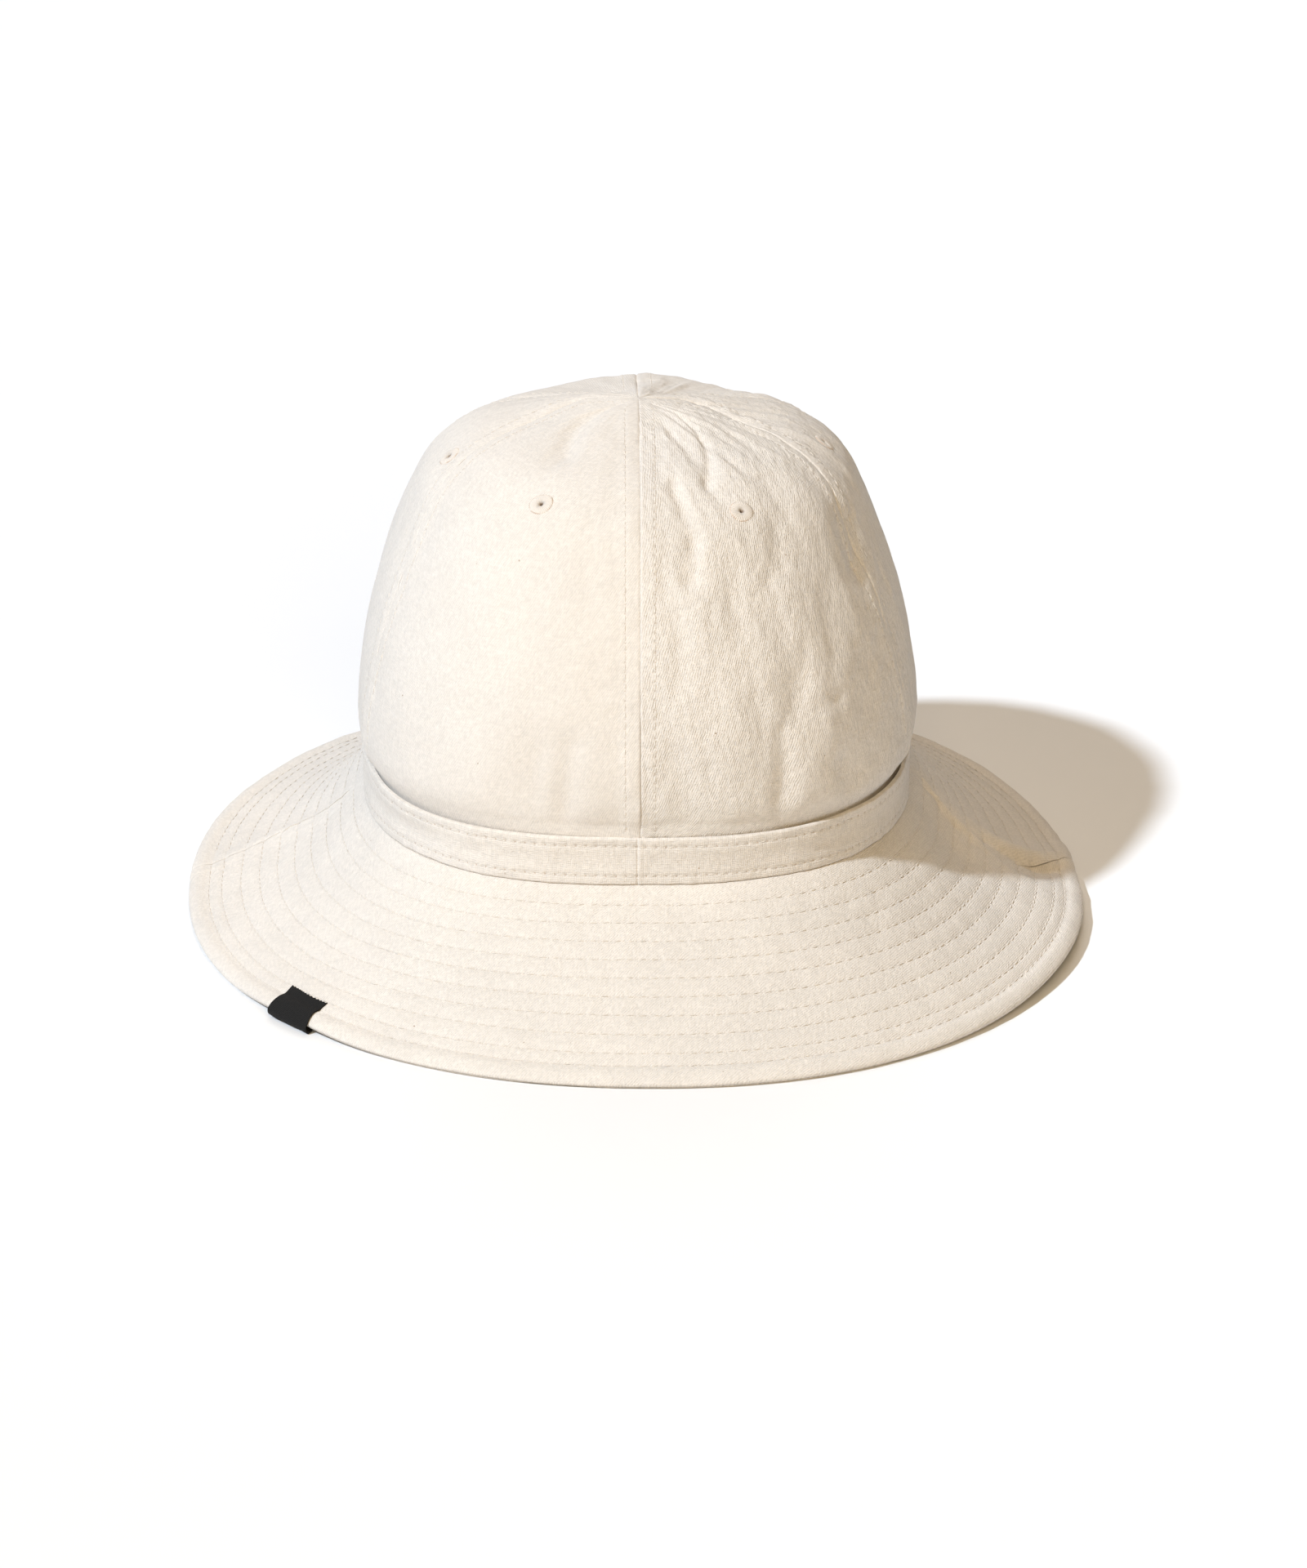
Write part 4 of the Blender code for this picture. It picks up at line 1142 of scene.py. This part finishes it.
# %% Stitch maker
STITCH_SIDES = 5
STITCH_RINGS = np.array([0.14, 0.5, 0.86])


def make_stitches(name, start, end, normal, width, thickness, sink):
    """Closed spindles between the start and end points, with a point at each end.

    The centre line starts one thickness and the sink below the cloth, and rises by 1.6
    thicknesses to its middle.
    """
    count = len(start)
    forward = end - start
    side = unit(np.cross(normal, forward))
    share = np.r_[0.0, STITCH_RINGS, 1.0][:, None]
    lift = (np.sin(np.pi * share) ** 0.6 * 1.6 - 1.0) * thickness - sink
    line = start[:, None] + forward[:, None] * share + normal[:, None] * lift
    turn = np.linspace(0.0, 2 * np.pi, STITCH_SIDES, endpoint=False)[:, None]
    section = np.cos(turn) * width * side[:, None] + np.sin(turn) * thickness * normal[:, None]
    swell = np.sin(np.pi * STITCH_RINGS)[:, None, None] ** 0.5
    rings = line[:, 1:-1, None] + section[:, None] * swell
    vertices = np.concatenate([line[:, :1], rings.reshape(count, -1, 3), line[:, -1:]], axis=1)
    size = vertices.shape[1]
    i = np.arange(STITCH_SIDES)
    j = (i + 1) % STITCH_SIDES
    ring = 1 + STITCH_SIDES * np.arange(len(STITCH_RINGS))[:, None]
    low, high = ring[:-1], ring[1:]
    quads = np.stack([low + i, low + j, high + j, high + i], axis=-1).reshape(-1, 4)
    caps = np.concatenate([np.stack([0 * i, 1 + j, 1 + i], axis=1),
                           np.stack([0 * i + size - 1, ring[-1] + i, ring[-1] + j], axis=1)])
    shift = (np.arange(count) * size)[:, None, None]
    points = vertices.reshape(-1, 3)
    quads, caps = face_out(points, (quads + shift).reshape(-1, 4), (caps + shift).reshape(-1, 3))
    return mesh_object(name, points, quads.tolist() + caps.tolist())


def sew(name, rows, thread, keep, seed):
    """Make the stitches of some rows, which each have their starts, ends and normals.

    thread has the width, thickness and sink. Both ends of a stitch are pulled towards its
    middle, which leaves about the share keep of it, a little unevenly and askew.
    """
    start, end, normal = (np.concatenate(parts) for parts in zip(*rows))
    chance = np.random.default_rng(seed)
    middle = (start + end) / 2
    forward = (end - start) / 2
    side = np.cross(normal, forward)
    uneven = chance.uniform(0.86, 1.08, (2, len(start), 1)) * keep
    askew = chance.uniform(-0.07, 0.07, (2, len(start), 1))
    start = middle - forward * uneven[0] + side * askew[0]
    end = middle + forward * uneven[1] + side * askew[1]
    return join_hat(make_stitches(name, start, end, normal, *thread))


print("a stitch has", STITCH_SIDES, "sides")

# %% [markdown]
# ## Rows of stitches
#
# Topstitching runs on both sides of each crown seam, along both edges of the band, and in the
# ten rows of the brim, which show above and below. Each row is placed on the same surface
# function as its cloth, with the same relief, so the thread lies in its groove.

# %% Stitches of the crown
def crown_stitches():
    """Both rows of every seam, up to where the rows of neighbouring seams meet."""
    for number in range(len(PANELS)):
        for edge in (-1, 1):
            seam = number + (edge > 0)
            up = np.linspace(FOOT_CLIMB, 0.985, 400)
            length = seam_length(seam, up)
            along = np.arange(math.ceil(length[0] / TOPSTITCH_PITCH), int(length[-1] / TOPSTITCH_PITCH))
            along = along * TOPSTITCH_PITCH
            hole = np.interp(along, length, up)
            clear = panel_frame(number, hole)[2] * seam_square(seam, hole) > 0.0058
            hole, along = hole[clear], along[clear]
            face = []
            for nudge_side, nudge_up in ((0, 0), (0.0006, 0), (-0.0006, 0), (0, 0.003), (0, -0.003)):
                climb = hole + nudge_up
                span = panel_frame(number, climb)[2]
                square = seam_square(seam, climb)
                inset = TOPSTITCH_INSET * tip_share(span, square) / square
                face.append(panel_point(number, edge * (1.0 - (inset + nudge_side) / span), climb))
            normal = unit(outward_normals(face[0], np.cross(face[1] - face[2], face[3] - face[4])))
            inset = np.full_like(hole, TOPSTITCH_INSET)
            relief = seam_relief(inset, along, edge, 20 + number)
            point = face[0] + normal * relief[:, None]
            yield point[:-1], point[1:], normal[:-1]


crown_thread = sew("crown_topstitching", crown_stitches(),
                   (0.00022, 0.00018, -0.00006), 0.80, 71)

# %% [markdown]
# ## Stitches of the band
#
# The band has one row inside each edge, with a slightly longer stitch than the crown's. The rows
# follow the band's own relief, so the thread lies in the groove that it pulls down.

# %% Stitches of the band
def band_stitches():
    """A row beside each edge of the band."""
    turns = int(2 * np.pi * BAND_RADIUS / BAND_STITCH_PITCH)
    hole = (np.arange(turns + 1) / turns * 360.0) - 180.0
    for up in (BAND_STITCH_INSET / BAND_HEIGHT, 1.0 - BAND_STITCH_INSET / BAND_HEIGHT):
        point = band_point(hole, up)
        along = band_point(hole + 0.2, up) - band_point(hole - 0.2, up)
        normal = unit(np.cross(along, (0.0, 0.0, 1.0)))
        normal = normal * np.sign(np.sum(normal * (point + CENTRE), axis=-1, keepdims=True))
        point = point + normal * band_relief(hole, np.full_like(hole, up))[:, None]
        yield point[:-1], point[1:], normal[:-1]


band_thread = sew("band_stitching", band_stitches(),
                  (0.00020, 0.00016, -0.00003), 0.76, 72)

# %% [markdown]
# ## Stitches of the brim
#
# A real brim is quilted through both layers, so the same rows show above and below. Each layer
# gets its own stitches between the same needle holes. The spacing is by length along the row,
# because a fixed angle would make the outer stitches too long.

# %% Stitches of the brim
# Share along the cloth where the tab starts, and the degrees that it keeps free on each side
TAB_START = 0.89
TAB_CLEAR = 4.1


def brim_stitches(sign, rest):
    """All ten rows on one face of the brim, skipping the tab and the side seams.

    sign is 1 above and -1 below, and rest is the height of the plain face over the top one.
    """
    for share in ROWS:
        step = 360.0 / float(stitches_round(share))
        hole = np.arange(math.ceil(-96.0 / step), int(265.0 / step)) * step
        shares = np.full_like(hole, share)
        normal = brim_normal(hole + step / 2, shares)
        first, second = (
            brim_point(turn, shares) + normal * (sign * brim_relief(turn, shares) + rest)[:, None]
            for turn in (hole, hole + step))
        clear = (share < TAB_START) | (np.abs(turn_of(hole, LABEL_AZIMUTH - 0.5)) > TAB_CLEAR)
        for side in (1, -1):
            seam = brim_seam(side, float(plan_share(90.0 * side, share)))
            clear = clear & (np.abs(turn_of(hole + step / 2, seam)) > 0.55 * step)
        clear = clear & (hole > seam) & (hole < seam + 360.0)
        yield first[clear], second[clear], sign * normal[clear]


BRIM_THREAD = (0.00022, 0.00016, -0.00002)
brim_threads = [
    sew("brim_rows_top", brim_stitches(1.0, 0.0), BRIM_THREAD, 0.72, 73),
    sew("brim_rows_under", brim_stitches(-1.0, -STACK), BRIM_THREAD, 0.72, 73),
]

# %% [markdown]
# ## Flat cuts of the cloth
#
# Each sewn sheet was cut flat before it was made up. Its UV map "cloth" lays the cut out at full
# size, and the corners of its triangles are read from there. The panels, the band and the brim's
# layers are held in shape by their seams, and the tape is folded over the edge.

# %% Flat cuts
def declare_sheet(piece):
    """Read the corners of the triangles of a sheet's flat cut from its cloth map."""
    mesh = piece.data
    mesh.calc_loop_triangles()
    flat = np.empty(len(mesh.loops) * 2)
    mesh.uv_layers["cloth"].uv.foreach_get("vector", flat)
    flat = flat.reshape(-1, 2)
    corners = np.empty(len(mesh.loop_triangles) * 3, dtype=int)
    mesh.loop_triangles.foreach_get("loops", corners)
    first, second, third = flat[corners.reshape(-1, 3)].transpose(1, 0, 2)


for (name, _, _), ring in zip(PANELS, eyelets):
    declare_sheet(panels[name])
declare_sheet(band)
for layer in layers.values():
    declare_sheet(layer)
declare_sheet(tab)

# %% [markdown]
# ## Weave
#
# The crown and brim are twill, whose yarns show as fine slanting ribs, and the band is a plain
# weave. One node group makes both: it draws the ribs and the crossing yarns from the piece's own
# cloth coordinates in metres, bends them a little, and adds thicker yarns, broad changes of tone
# and the small brown seed flecks of unbleached cotton. Its colour also holds painted shade, darker
# where the yarns lie low and round each needle hole. It puts out a colour, a roughness and a
# height, and the material's own Bump and Principled nodes do the rest.

# %% Weave node group
class Nodes:
    """Makes the nodes of one tree. Most methods give an output that the next node can take."""

    def __init__(self, tree):
        self.tree = tree

    def feed(self, node, inputs):
        """Give each input a value, or a link if its value is another node's output."""
        for socket, value in inputs.items():
            if isinstance(value, bpy.types.NodeSocket):
                self.tree.links.new(value, node.inputs[socket])
            else:
                node.inputs[socket].default_value = value

    def add(self, kind, inputs, **settings):
        """The outputs of a new node, with its properties set and its inputs fed."""
        node = self.tree.nodes.new("ShaderNode" + kind)
        for key, value in settings.items():
            setattr(node, key, value)
        self.feed(node, inputs)
        return node.outputs

    def maths(self, operation, *values):
        """A Math node's output."""
        return self.add("Math", dict(enumerate(values)), operation=operation)[0]

    def product(self, first, *others):
        """Product of several values."""
        for value in others:
            first = self.maths("MULTIPLY", first, value)
        return first

    def sine(self, value, rate):
        """Sine of a value times a rate."""
        return self.maths("SINE", self.product(value, rate))

    def vector(self, operation, *values):
        """A Vector Math node's output."""
        return self.add("VectorMath", dict(enumerate(values)), operation=operation)[0]

    def noise(self, vector, scale, detail=2.0):
        """A Noise texture's factor. A scale with three parts stretches it along the axes."""
        if isinstance(scale, tuple):
            vector = self.vector("MULTIPLY", vector, scale)
            scale = 1.0
        return self.add("TexNoise", {"Vector": vector, "Scale": scale, "Detail": detail})[0]

    def ramp(self, value, low, high, to_low=0.0, to_high=1.0):
        """Map a value from one range to another by a smooth step, clamped."""
        inputs = dict(enumerate((value, low, high, to_low, to_high)))
        return self.add("MapRange", inputs, interpolation_type="SMOOTHSTEP")[0]

    def blend(self, factor, first, second):
        """Mix two colours."""
        return self.add("Mix", {0: factor, 6: first, 7: second}, data_type="RGBA")[2]

    def uv(self, name):
        """A UV map of the piece's own."""
        return self.add("UVMap", {}, uv_map=name)[0]


WEAVE_SOCKETS = (
    ("INPUT", "Vector", ("Cloth", "Stitch")),
    ("INPUT", "Color", ("Base",)),
    ("INPUT", "Float", ("Pitch", "Slant", "Ribs", "Crumple", "Stitch pitch", "Needle")),
    ("OUTPUT", "Color", ("Colour",)),
    ("OUTPUT", "Float", ("Roughness", "Height")),
)
SEED = (0.30, 0.19, 0.10, 1.0)
# Brown of the painted shade round each needle hole
HOLE_SHADE_BROWN = (0.40, 0.27, 0.17, 1.0)


def weave_group():
    """Ribs, crossing yarns, slubs and flecks of undyed cotton, from cloth coordinates."""
    tree = bpy.data.node_groups.new("cotton weave", "ShaderNodeTree")
    for direction, kind, names in WEAVE_SOCKETS:
        for name in names:
            tree.interface.new_socket(name=name, in_out=direction, socket_type="NodeSocket" + kind)
    make = Nodes(tree)
    given = tree.nodes.new("NodeGroupInput").outputs
    cloth = given["Cloth"]

    wander = make.add("TexNoise", {"Vector": cloth, "Scale": 260.0})["Color"]
    aside = make.vector("SUBTRACT", wander, (0.5, 0.5, 0.5))
    bent = make.vector("MULTIPLY_ADD", aside, (0.0010, 0.0010, 0.0), cloth)
    turned = make.add("VectorRotate", {"Vector": bent, "Angle": given["Slant"]}, rotation_type="Z_AXIS")
    along_rib, over_ribs, _ = make.add("SeparateXYZ", {0: turned[0]})
    across, along, _ = make.add("SeparateXYZ", {0: bent})
    rate = make.maths("DIVIDE", 2 * math.pi, given["Pitch"])
    beads = make.sine(along_rib, make.product(rate, 0.62))
    worn = make.ramp(make.noise(cloth, 520.0), 0.30, 0.70, 0.18, 0.55)
    twill = make.product(make.sine(over_ribs, rate), make.maths("MULTIPLY_ADD", beads, 0.14, worn))
    weft = make.product(make.sine(along, rate), 0.30)
    plain = make.maths("MULTIPLY_ADD", make.sine(across, rate), 0.26, weft)
    yarn = make.add("Mix", {0: given["Ribs"], 2: plain, 3: twill}, data_type="FLOAT")[0]

    fuzz = make.noise(cloth, 2600.0, 3.0)
    slubs = make.noise(bent, (1150.0, 420.0, 1.0))
    cross_slubs = make.noise(bent, (420.0, 1300.0, 1.0))
    for part, share in ((slubs, 2.3), (cross_slubs, 1.7), (fuzz, 1.3)):
        yarn = make.maths("MULTIPLY_ADD", part, share, yarn)
    creases = make.product(make.noise(bent, (330.0, 200.0, 1.0), 3.0), 7.0, given["Crumple"])
    height = make.maths("ADD", yarn, creases)

    off_row, along_row, _ = make.add("SeparateXYZ", {0: given["Stitch"]})
    to_hole = make.maths("PINGPONG", make.maths("DIVIDE", along_row, given["Stitch pitch"]), 0.5)
    to_hole = make.product(to_hole, given["Stitch pitch"])
    squares = make.maths("ADD", make.product(to_hole, to_hole), make.product(off_row, off_row))
    ragged = make.maths("MULTIPLY_ADD", fuzz, 0.0006, -0.0003)
    hole = make.maths("ADD", make.maths("SQRT", squares), ragged)
    dimple = make.product(make.ramp(hole, 0.0001, 0.0010, 1.0, 0.0), given["Needle"])
    height = make.maths("MULTIPLY_ADD", dimple, -1.4, height)
    # Painted shade round each needle hole, where its dimple would lie in shade
    hole_shade = make.product(make.ramp(hole, 0.00005, 0.00045, 0.62, 0.0), given["Needle"])

    # Painted shade: the colour darkens where the yarns lie low, as the weave's small shadows would, times
    # a broad random tone
    broad = make.ramp(make.noise(cloth, 38.0, 3.0), 0.3, 0.7, 0.975, 1.015)
    yarn_shade_and_tone = make.product(make.ramp(yarn, 1.7, 3.7, 0.86, 1.04), broad)
    shaded_base = make.add("VectorMath", {0: given["Base"], "Scale": yarn_shade_and_tone}, operation="SCALE")[0]
    cells = make.add("TexVoronoi", {"Vector": cloth, "Scale": 150.0}, feature="F1")
    first, second, _ = make.add("SeparateColor", {0: cells["Color"]})
    spot = make.ramp(cells["Distance"], 0.030, 0.055, 1.0, 0.0)
    chosen = make.ramp(first, 0.60, 0.72)
    fleck = make.product(spot, chosen, make.ramp(second, 0.0, 1.0, 0.35, 0.95))
    make.feed(tree.nodes.new("NodeGroupOutput"), {
        "Colour": make.blend(hole_shade, make.blend(fleck, shaded_base, SEED), HOLE_SHADE_BROWN),
        "Roughness": make.ramp(yarn, 1.7, 3.7, 0.96, 0.86),
        "Height": height,
    })
    return tree


WEAVE = weave_group()
print("weave group:", len(WEAVE.nodes), "nodes")

# %% [markdown]
# ## Cloth and thread materials
#
# Each cloth takes the weave group with its own pitch and slant. The crown's ribs are steep, the
# brim's nearer to a diagonal, and the band has plain yarns. A little sheen stands for the fine
# fuzz on cotton. Thread is smoother than cloth and a shade darker: partly its own tone, partly
# painted shade of the groove it lies in.

# %% Cloth materials
def new_material(name):
    """A material, the maker of its nodes and its Principled shader."""
    material = bpy.data.materials.new(name)
    material.use_nodes = True
    tree = material.node_tree
    return material, Nodes(tree), tree.nodes["Principled BSDF"]


def set_surface(make, shader, colour, roughness, height, strength, distance, others):
    """Feed a shader its colour and roughness, and its height by way of a Bump node."""
    bump = make.add("Bump", {"Strength": strength, "Distance": distance, "Height": height})[0]
    make.feed(shader, {"Base Color": colour, "Roughness": roughness, "Normal": bump, **others})


def woven_cotton(name, base, pitch, slant, ribs, stitch_pitch, crumple, needle=1.0, relief=1.0):
    """A cotton cloth with its weave in colour, roughness and bump, and needle holes in its rows.

    ribs is 1 for twill and 0 for a plain weave. crumple is the height of the fine creases,
    needle the strength of the holes' dimples and their painted shade, and relief that of the whole bump.
    """
    material, make, shader = new_material(name)
    weave = make.add("Group", {
        "Cloth": make.uv("cloth"), "Stitch": make.uv("stitch"), "Base": (*base, 1.0),
        "Pitch": pitch, "Slant": slant, "Ribs": ribs, "Crumple": crumple,
        "Stitch pitch": stitch_pitch, "Needle": needle,
    }, node_tree=WEAVE)
    set_surface(make, shader, weave["Colour"], weave["Roughness"], weave["Height"], relief, 0.0001,
                {"Specular IOR Level": 0.15, "Sheen Weight": 0.06, "Sheen Roughness": 0.6})
    return material


def thread_material(name, base):
    """Twisted cotton thread: a fine grain in object space, with painted shade in its hollows."""
    material, make, shader = new_material(name)
    plies = make.noise(make.add("TexCoord", {})["Object"], 3600.0)
    hollow_shade = [0.86 * part for part in base]
    colour = make.blend(make.ramp(plies, 0.3, 0.7), (*hollow_shade, 1.0), (*base, 1.0))
    set_surface(make, shader, colour, make.ramp(plies, 0.2, 0.8, 0.80, 0.66), plies, 0.6, 0.00006,
                {"Specular IOR Level": 0.3, "Sheen Weight": 0.08})
    return material


def worked_material(base, edge, bore_shade):
    """Thread worked round the eyelets: a ridge for each turn, with brown painted shade at the rim and in
    the bore.
    """
    material, make, shader = new_material("worked thread")
    place = make.uv("ring")
    share, turns, _ = make.add("SeparateXYZ", {0: place})
    uneven = make.noise(place, (1.2, 0.22, 1.0))
    ridges = make.sine(turns, 2 * math.pi)
    height = make.maths("MULTIPLY_ADD", ridges, 0.4, make.product(uneven, 2.0))
    # Painted shade: brown at the ring's rim, where it meets the cloth in a groove, and in the bore of the
    # hole
    rim = make.product(make.ramp(share, 0.84, 0.96), make.ramp(uneven, 0.40, 0.58), 0.7)
    colour = make.blend(rim, (*base, 1.0), (*edge, 1.0))
    colour = make.blend(make.ramp(share, 0.03, 0.20, 0.9, 0.0), colour, (*bore_shade, 1.0))
    set_surface(make, shader, colour, make.ramp(uneven, 0.2, 0.8, 0.90, 0.75), height, 1.0, 0.0001,
                {"Specular IOR Level": 0.15})
    return material


ECRU = (0.785, 0.732, 0.666)
SHADED_ECRU = (0.775, 0.722, 0.655)
# For each cloth: pitch of its yarns, slant of its ribs, 1 for twill, pitch of its stitches
CROWN_TWILL = (0.00066, math.radians(-65.0), 1.0, TOPSTITCH_PITCH)
BRIM_TWILL = (0.00070, math.radians(-47.0), 1.0, BRIM_PITCH)
PLAIN = (0.00062, 0.0, 0.0, BAND_STITCH_PITCH)
worn_cloth = woven_cotton("crown twill, crumpled", ECRU, *CROWN_TWILL, crumple=1.1, needle=0.7)
smooth_cloth = woven_cotton("crown twill, smooth", ECRU, *CROWN_TWILL,
                            crumple=0.16, needle=0.6, relief=0.5)
brim_cloth, under_cloth = (
    woven_cotton(name, colour, *BRIM_TWILL, crumple=0.12, needle=0.35, relief=0.8)
    for name, colour in (("brim twill", ECRU), ("brim under twill", SHADED_ECRU)))
band_cloth = woven_cotton("band plain weave", ECRU, *PLAIN, crumple=0.35, relief=0.8)
# The thread is a shade darker than the cloth: partly its own tone, partly painted shade of its groove
thread = thread_material("ecru thread", (0.78, 0.725, 0.65))
# Its second and third colours are the painted shade at the ring's rim and in its bore
worked_thread = worked_material((0.76, 0.70, 0.63), (0.52, 0.36, 0.25), (0.50, 0.37, 0.27))
print("cloths and threads:", len(bpy.data.materials))

# %% [markdown]
# ## Tape of the tab
#
# Woven tape has close ribs across its length. They are two sine waves in its own cloth
# coordinates, broken up by fine noise. The yarns are never fully black. The colour is a little
# lighter on the tops of the ribs than in the hollows, as a painted highlight and painted shade.

# %% Tape of the tab
TAPE_PITCH = 0.00034


def tape_material():
    """Black woven tape: close crosswise ribs, with a faint painted highlight on their tops."""
    material, make, shader = new_material("black tape")
    cloth = make.uv("cloth")
    across, along, _ = make.add("SeparateXYZ", {0: cloth})
    rate = 2 * math.pi / TAPE_PITCH
    fuzz = make.noise(cloth, 2600.0, 3.0)
    warp = make.maths("MULTIPLY_ADD", make.sine(across, rate * 0.8), 0.18, fuzz)
    height = make.maths("MULTIPLY_ADD", make.sine(along, rate), 0.25, warp)
    # Painted shade in the hollows between the ribs, and a faint painted highlight on their tops
    colour = make.blend(make.ramp(height, 0.2, 1.0), (0.004, 0.004, 0.004, 1.0),
                        (0.015, 0.014, 0.013, 1.0))
    set_surface(make, shader, colour, make.ramp(height, 0.2, 1.0, 0.92, 0.75), height, 0.8, 0.0001,
                {"Specular IOR Level": 0.3})
    return material


def dress(pieces, material):
    """Give pieces one material."""
    for piece in pieces:
        piece.data.materials.clear()
        piece.data.materials.append(material)


for name, panel in panels.items():
    dress([panel], worn_cloth if name in ("front_right", "side_right") else smooth_cloth)
dress([layers["top_front"], layers["top_back"]], brim_cloth)
dress([layers["under_front"], layers["under_back"]], under_cloth)
dress([band], band_cloth)
dress([crown_thread, band_thread, *brim_threads], thread)
dress(eyelets, worked_thread)
dress([tab], tape_material())
print("materials:", len(bpy.data.materials))

# %% [markdown]
# ## Camera
#
# The camera looks down on the hat's front by 23 degrees with a long lens, so the hat is drawn
# with almost no perspective. The focal length is given as a share of the picture's height, and
# the sensor is as high as the picture.

# %% Camera
CAMERA_RISE = math.radians(23.1)
CAMERA_DISTANCE = 1.8
FOCAL_SHARE = 6624.0 / 1920.0
SENSOR = 36.0
LOOK_AT = Vector((0.0055, 0.0, 0.0345)) - Vector(CENTRE)
scene = bpy.context.scene
camera = bpy.data.objects.new("camera", bpy.data.cameras.new("camera"))
scene.collection.objects.link(camera)
back = Vector((0.0, -math.cos(CAMERA_RISE), math.sin(CAMERA_RISE)))
camera.location = LOOK_AT + back * CAMERA_DISTANCE
camera.rotation_euler = (math.pi / 2 - CAMERA_RISE, 0.0, 0.0)
camera.data.sensor_width = SENSOR
camera.data.lens = SENSOR * FOCAL_SHARE
scene.camera = camera
print("lens:", round(camera.data.lens, 1), "mm")

# %% [markdown]
# ## Floor
#
# The floor only takes the hat's shadow. It is wide enough to fill the view, because an edge in
# the picture would read as part of the object.

# %% Floor
FLOOR_REACH = 6.0


def make_floor():
    """A wide pale plane under the hat."""
    signs = ((-1, -1), (1, -1), (1, 1), (-1, 1))
    corners = [(FLOOR_REACH * x, FLOOR_REACH * y, 0.0) for x, y in signs]
    floor = mesh_object("floor", corners, [(0, 1, 2, 3)])
    paint, make, shader = new_material("pale floor")
    make.feed(shader, {"Base Color": (0.89, 0.89, 0.89, 1.0), "Roughness": 0.95,
                       "Specular IOR Level": 0.1})
    dress([floor], paint)
    return floor


floor = make_floor()
print("floor:", round(floor.dimensions.x, 1), "m wide")

# %% [markdown]
# ## Light
#
# A sun lamp is the key: its shadow on the floor has the fairly sharp edge of a small lamp far
# away. Three large soft lamps fill in. One near the camera and one overhead are warm, as light
# sent back by a pale room is, and open the shaded side of the crown. The one behind the hat
# lights the brim's back, which would otherwise lie in the crown's shadow.

# %% Light
FILL = (1.0, 0.77, 0.47)
# Columns: name, kind, azimuth, rise, distance, energy, colour, angle in radians or size in m
LAMPS = (
    ("key", "SUN", -54.0, 46.0, 3.0, 3.25, (0.775, 0.872, 1.0), math.radians(3.0)),
    ("front fill", "AREA", 8.0, 31.0, 2.5, 23.0, FILL, 1.2),
    ("overhead fill", "AREA", 0.0, 75.0, 2.5, 10.5, FILL, 1.5),
    ("back fill", "AREA", 180.0, 50.0, 2.5, 21.0, (1.0, 0.96, 0.96), 1.5),
)


def make_lamp(name, kind, azimuth, rise, distance, energy, colour, size):
    """A lamp that points at the hat. The azimuth is 0 at the front and grows towards +X."""
    lamp = bpy.data.objects.new(name, bpy.data.lights.new(name, kind))
    scene.collection.objects.link(lamp)
    turn, up = math.radians(azimuth), math.radians(rise)
    direction = Vector((math.sin(turn) * math.cos(up), -math.cos(turn) * math.cos(up), math.sin(up)))
    lamp.location = LOOK_AT + direction * distance
    lamp.rotation_mode = "QUATERNION"
    lamp.rotation_quaternion = direction.to_track_quat("Z", "Y")
    lamp.visible_camera = False
    lamp.data.energy = energy
    lamp.data.color = colour
    setattr(lamp.data, "angle" if kind == "SUN" else "size", size)


for lamp in LAMPS:
    make_lamp(*lamp)

world = bpy.data.worlds.new("surround")
scene.world = world
world.use_nodes = True
background = world.node_tree.nodes["Background"]
background.inputs["Color"].default_value = (*FILL, 1.0)
background.inputs["Strength"].default_value = 0.03
scene.view_settings.view_transform = "Standard"
print("lamps:", [lamp[0] for lamp in LAMPS])
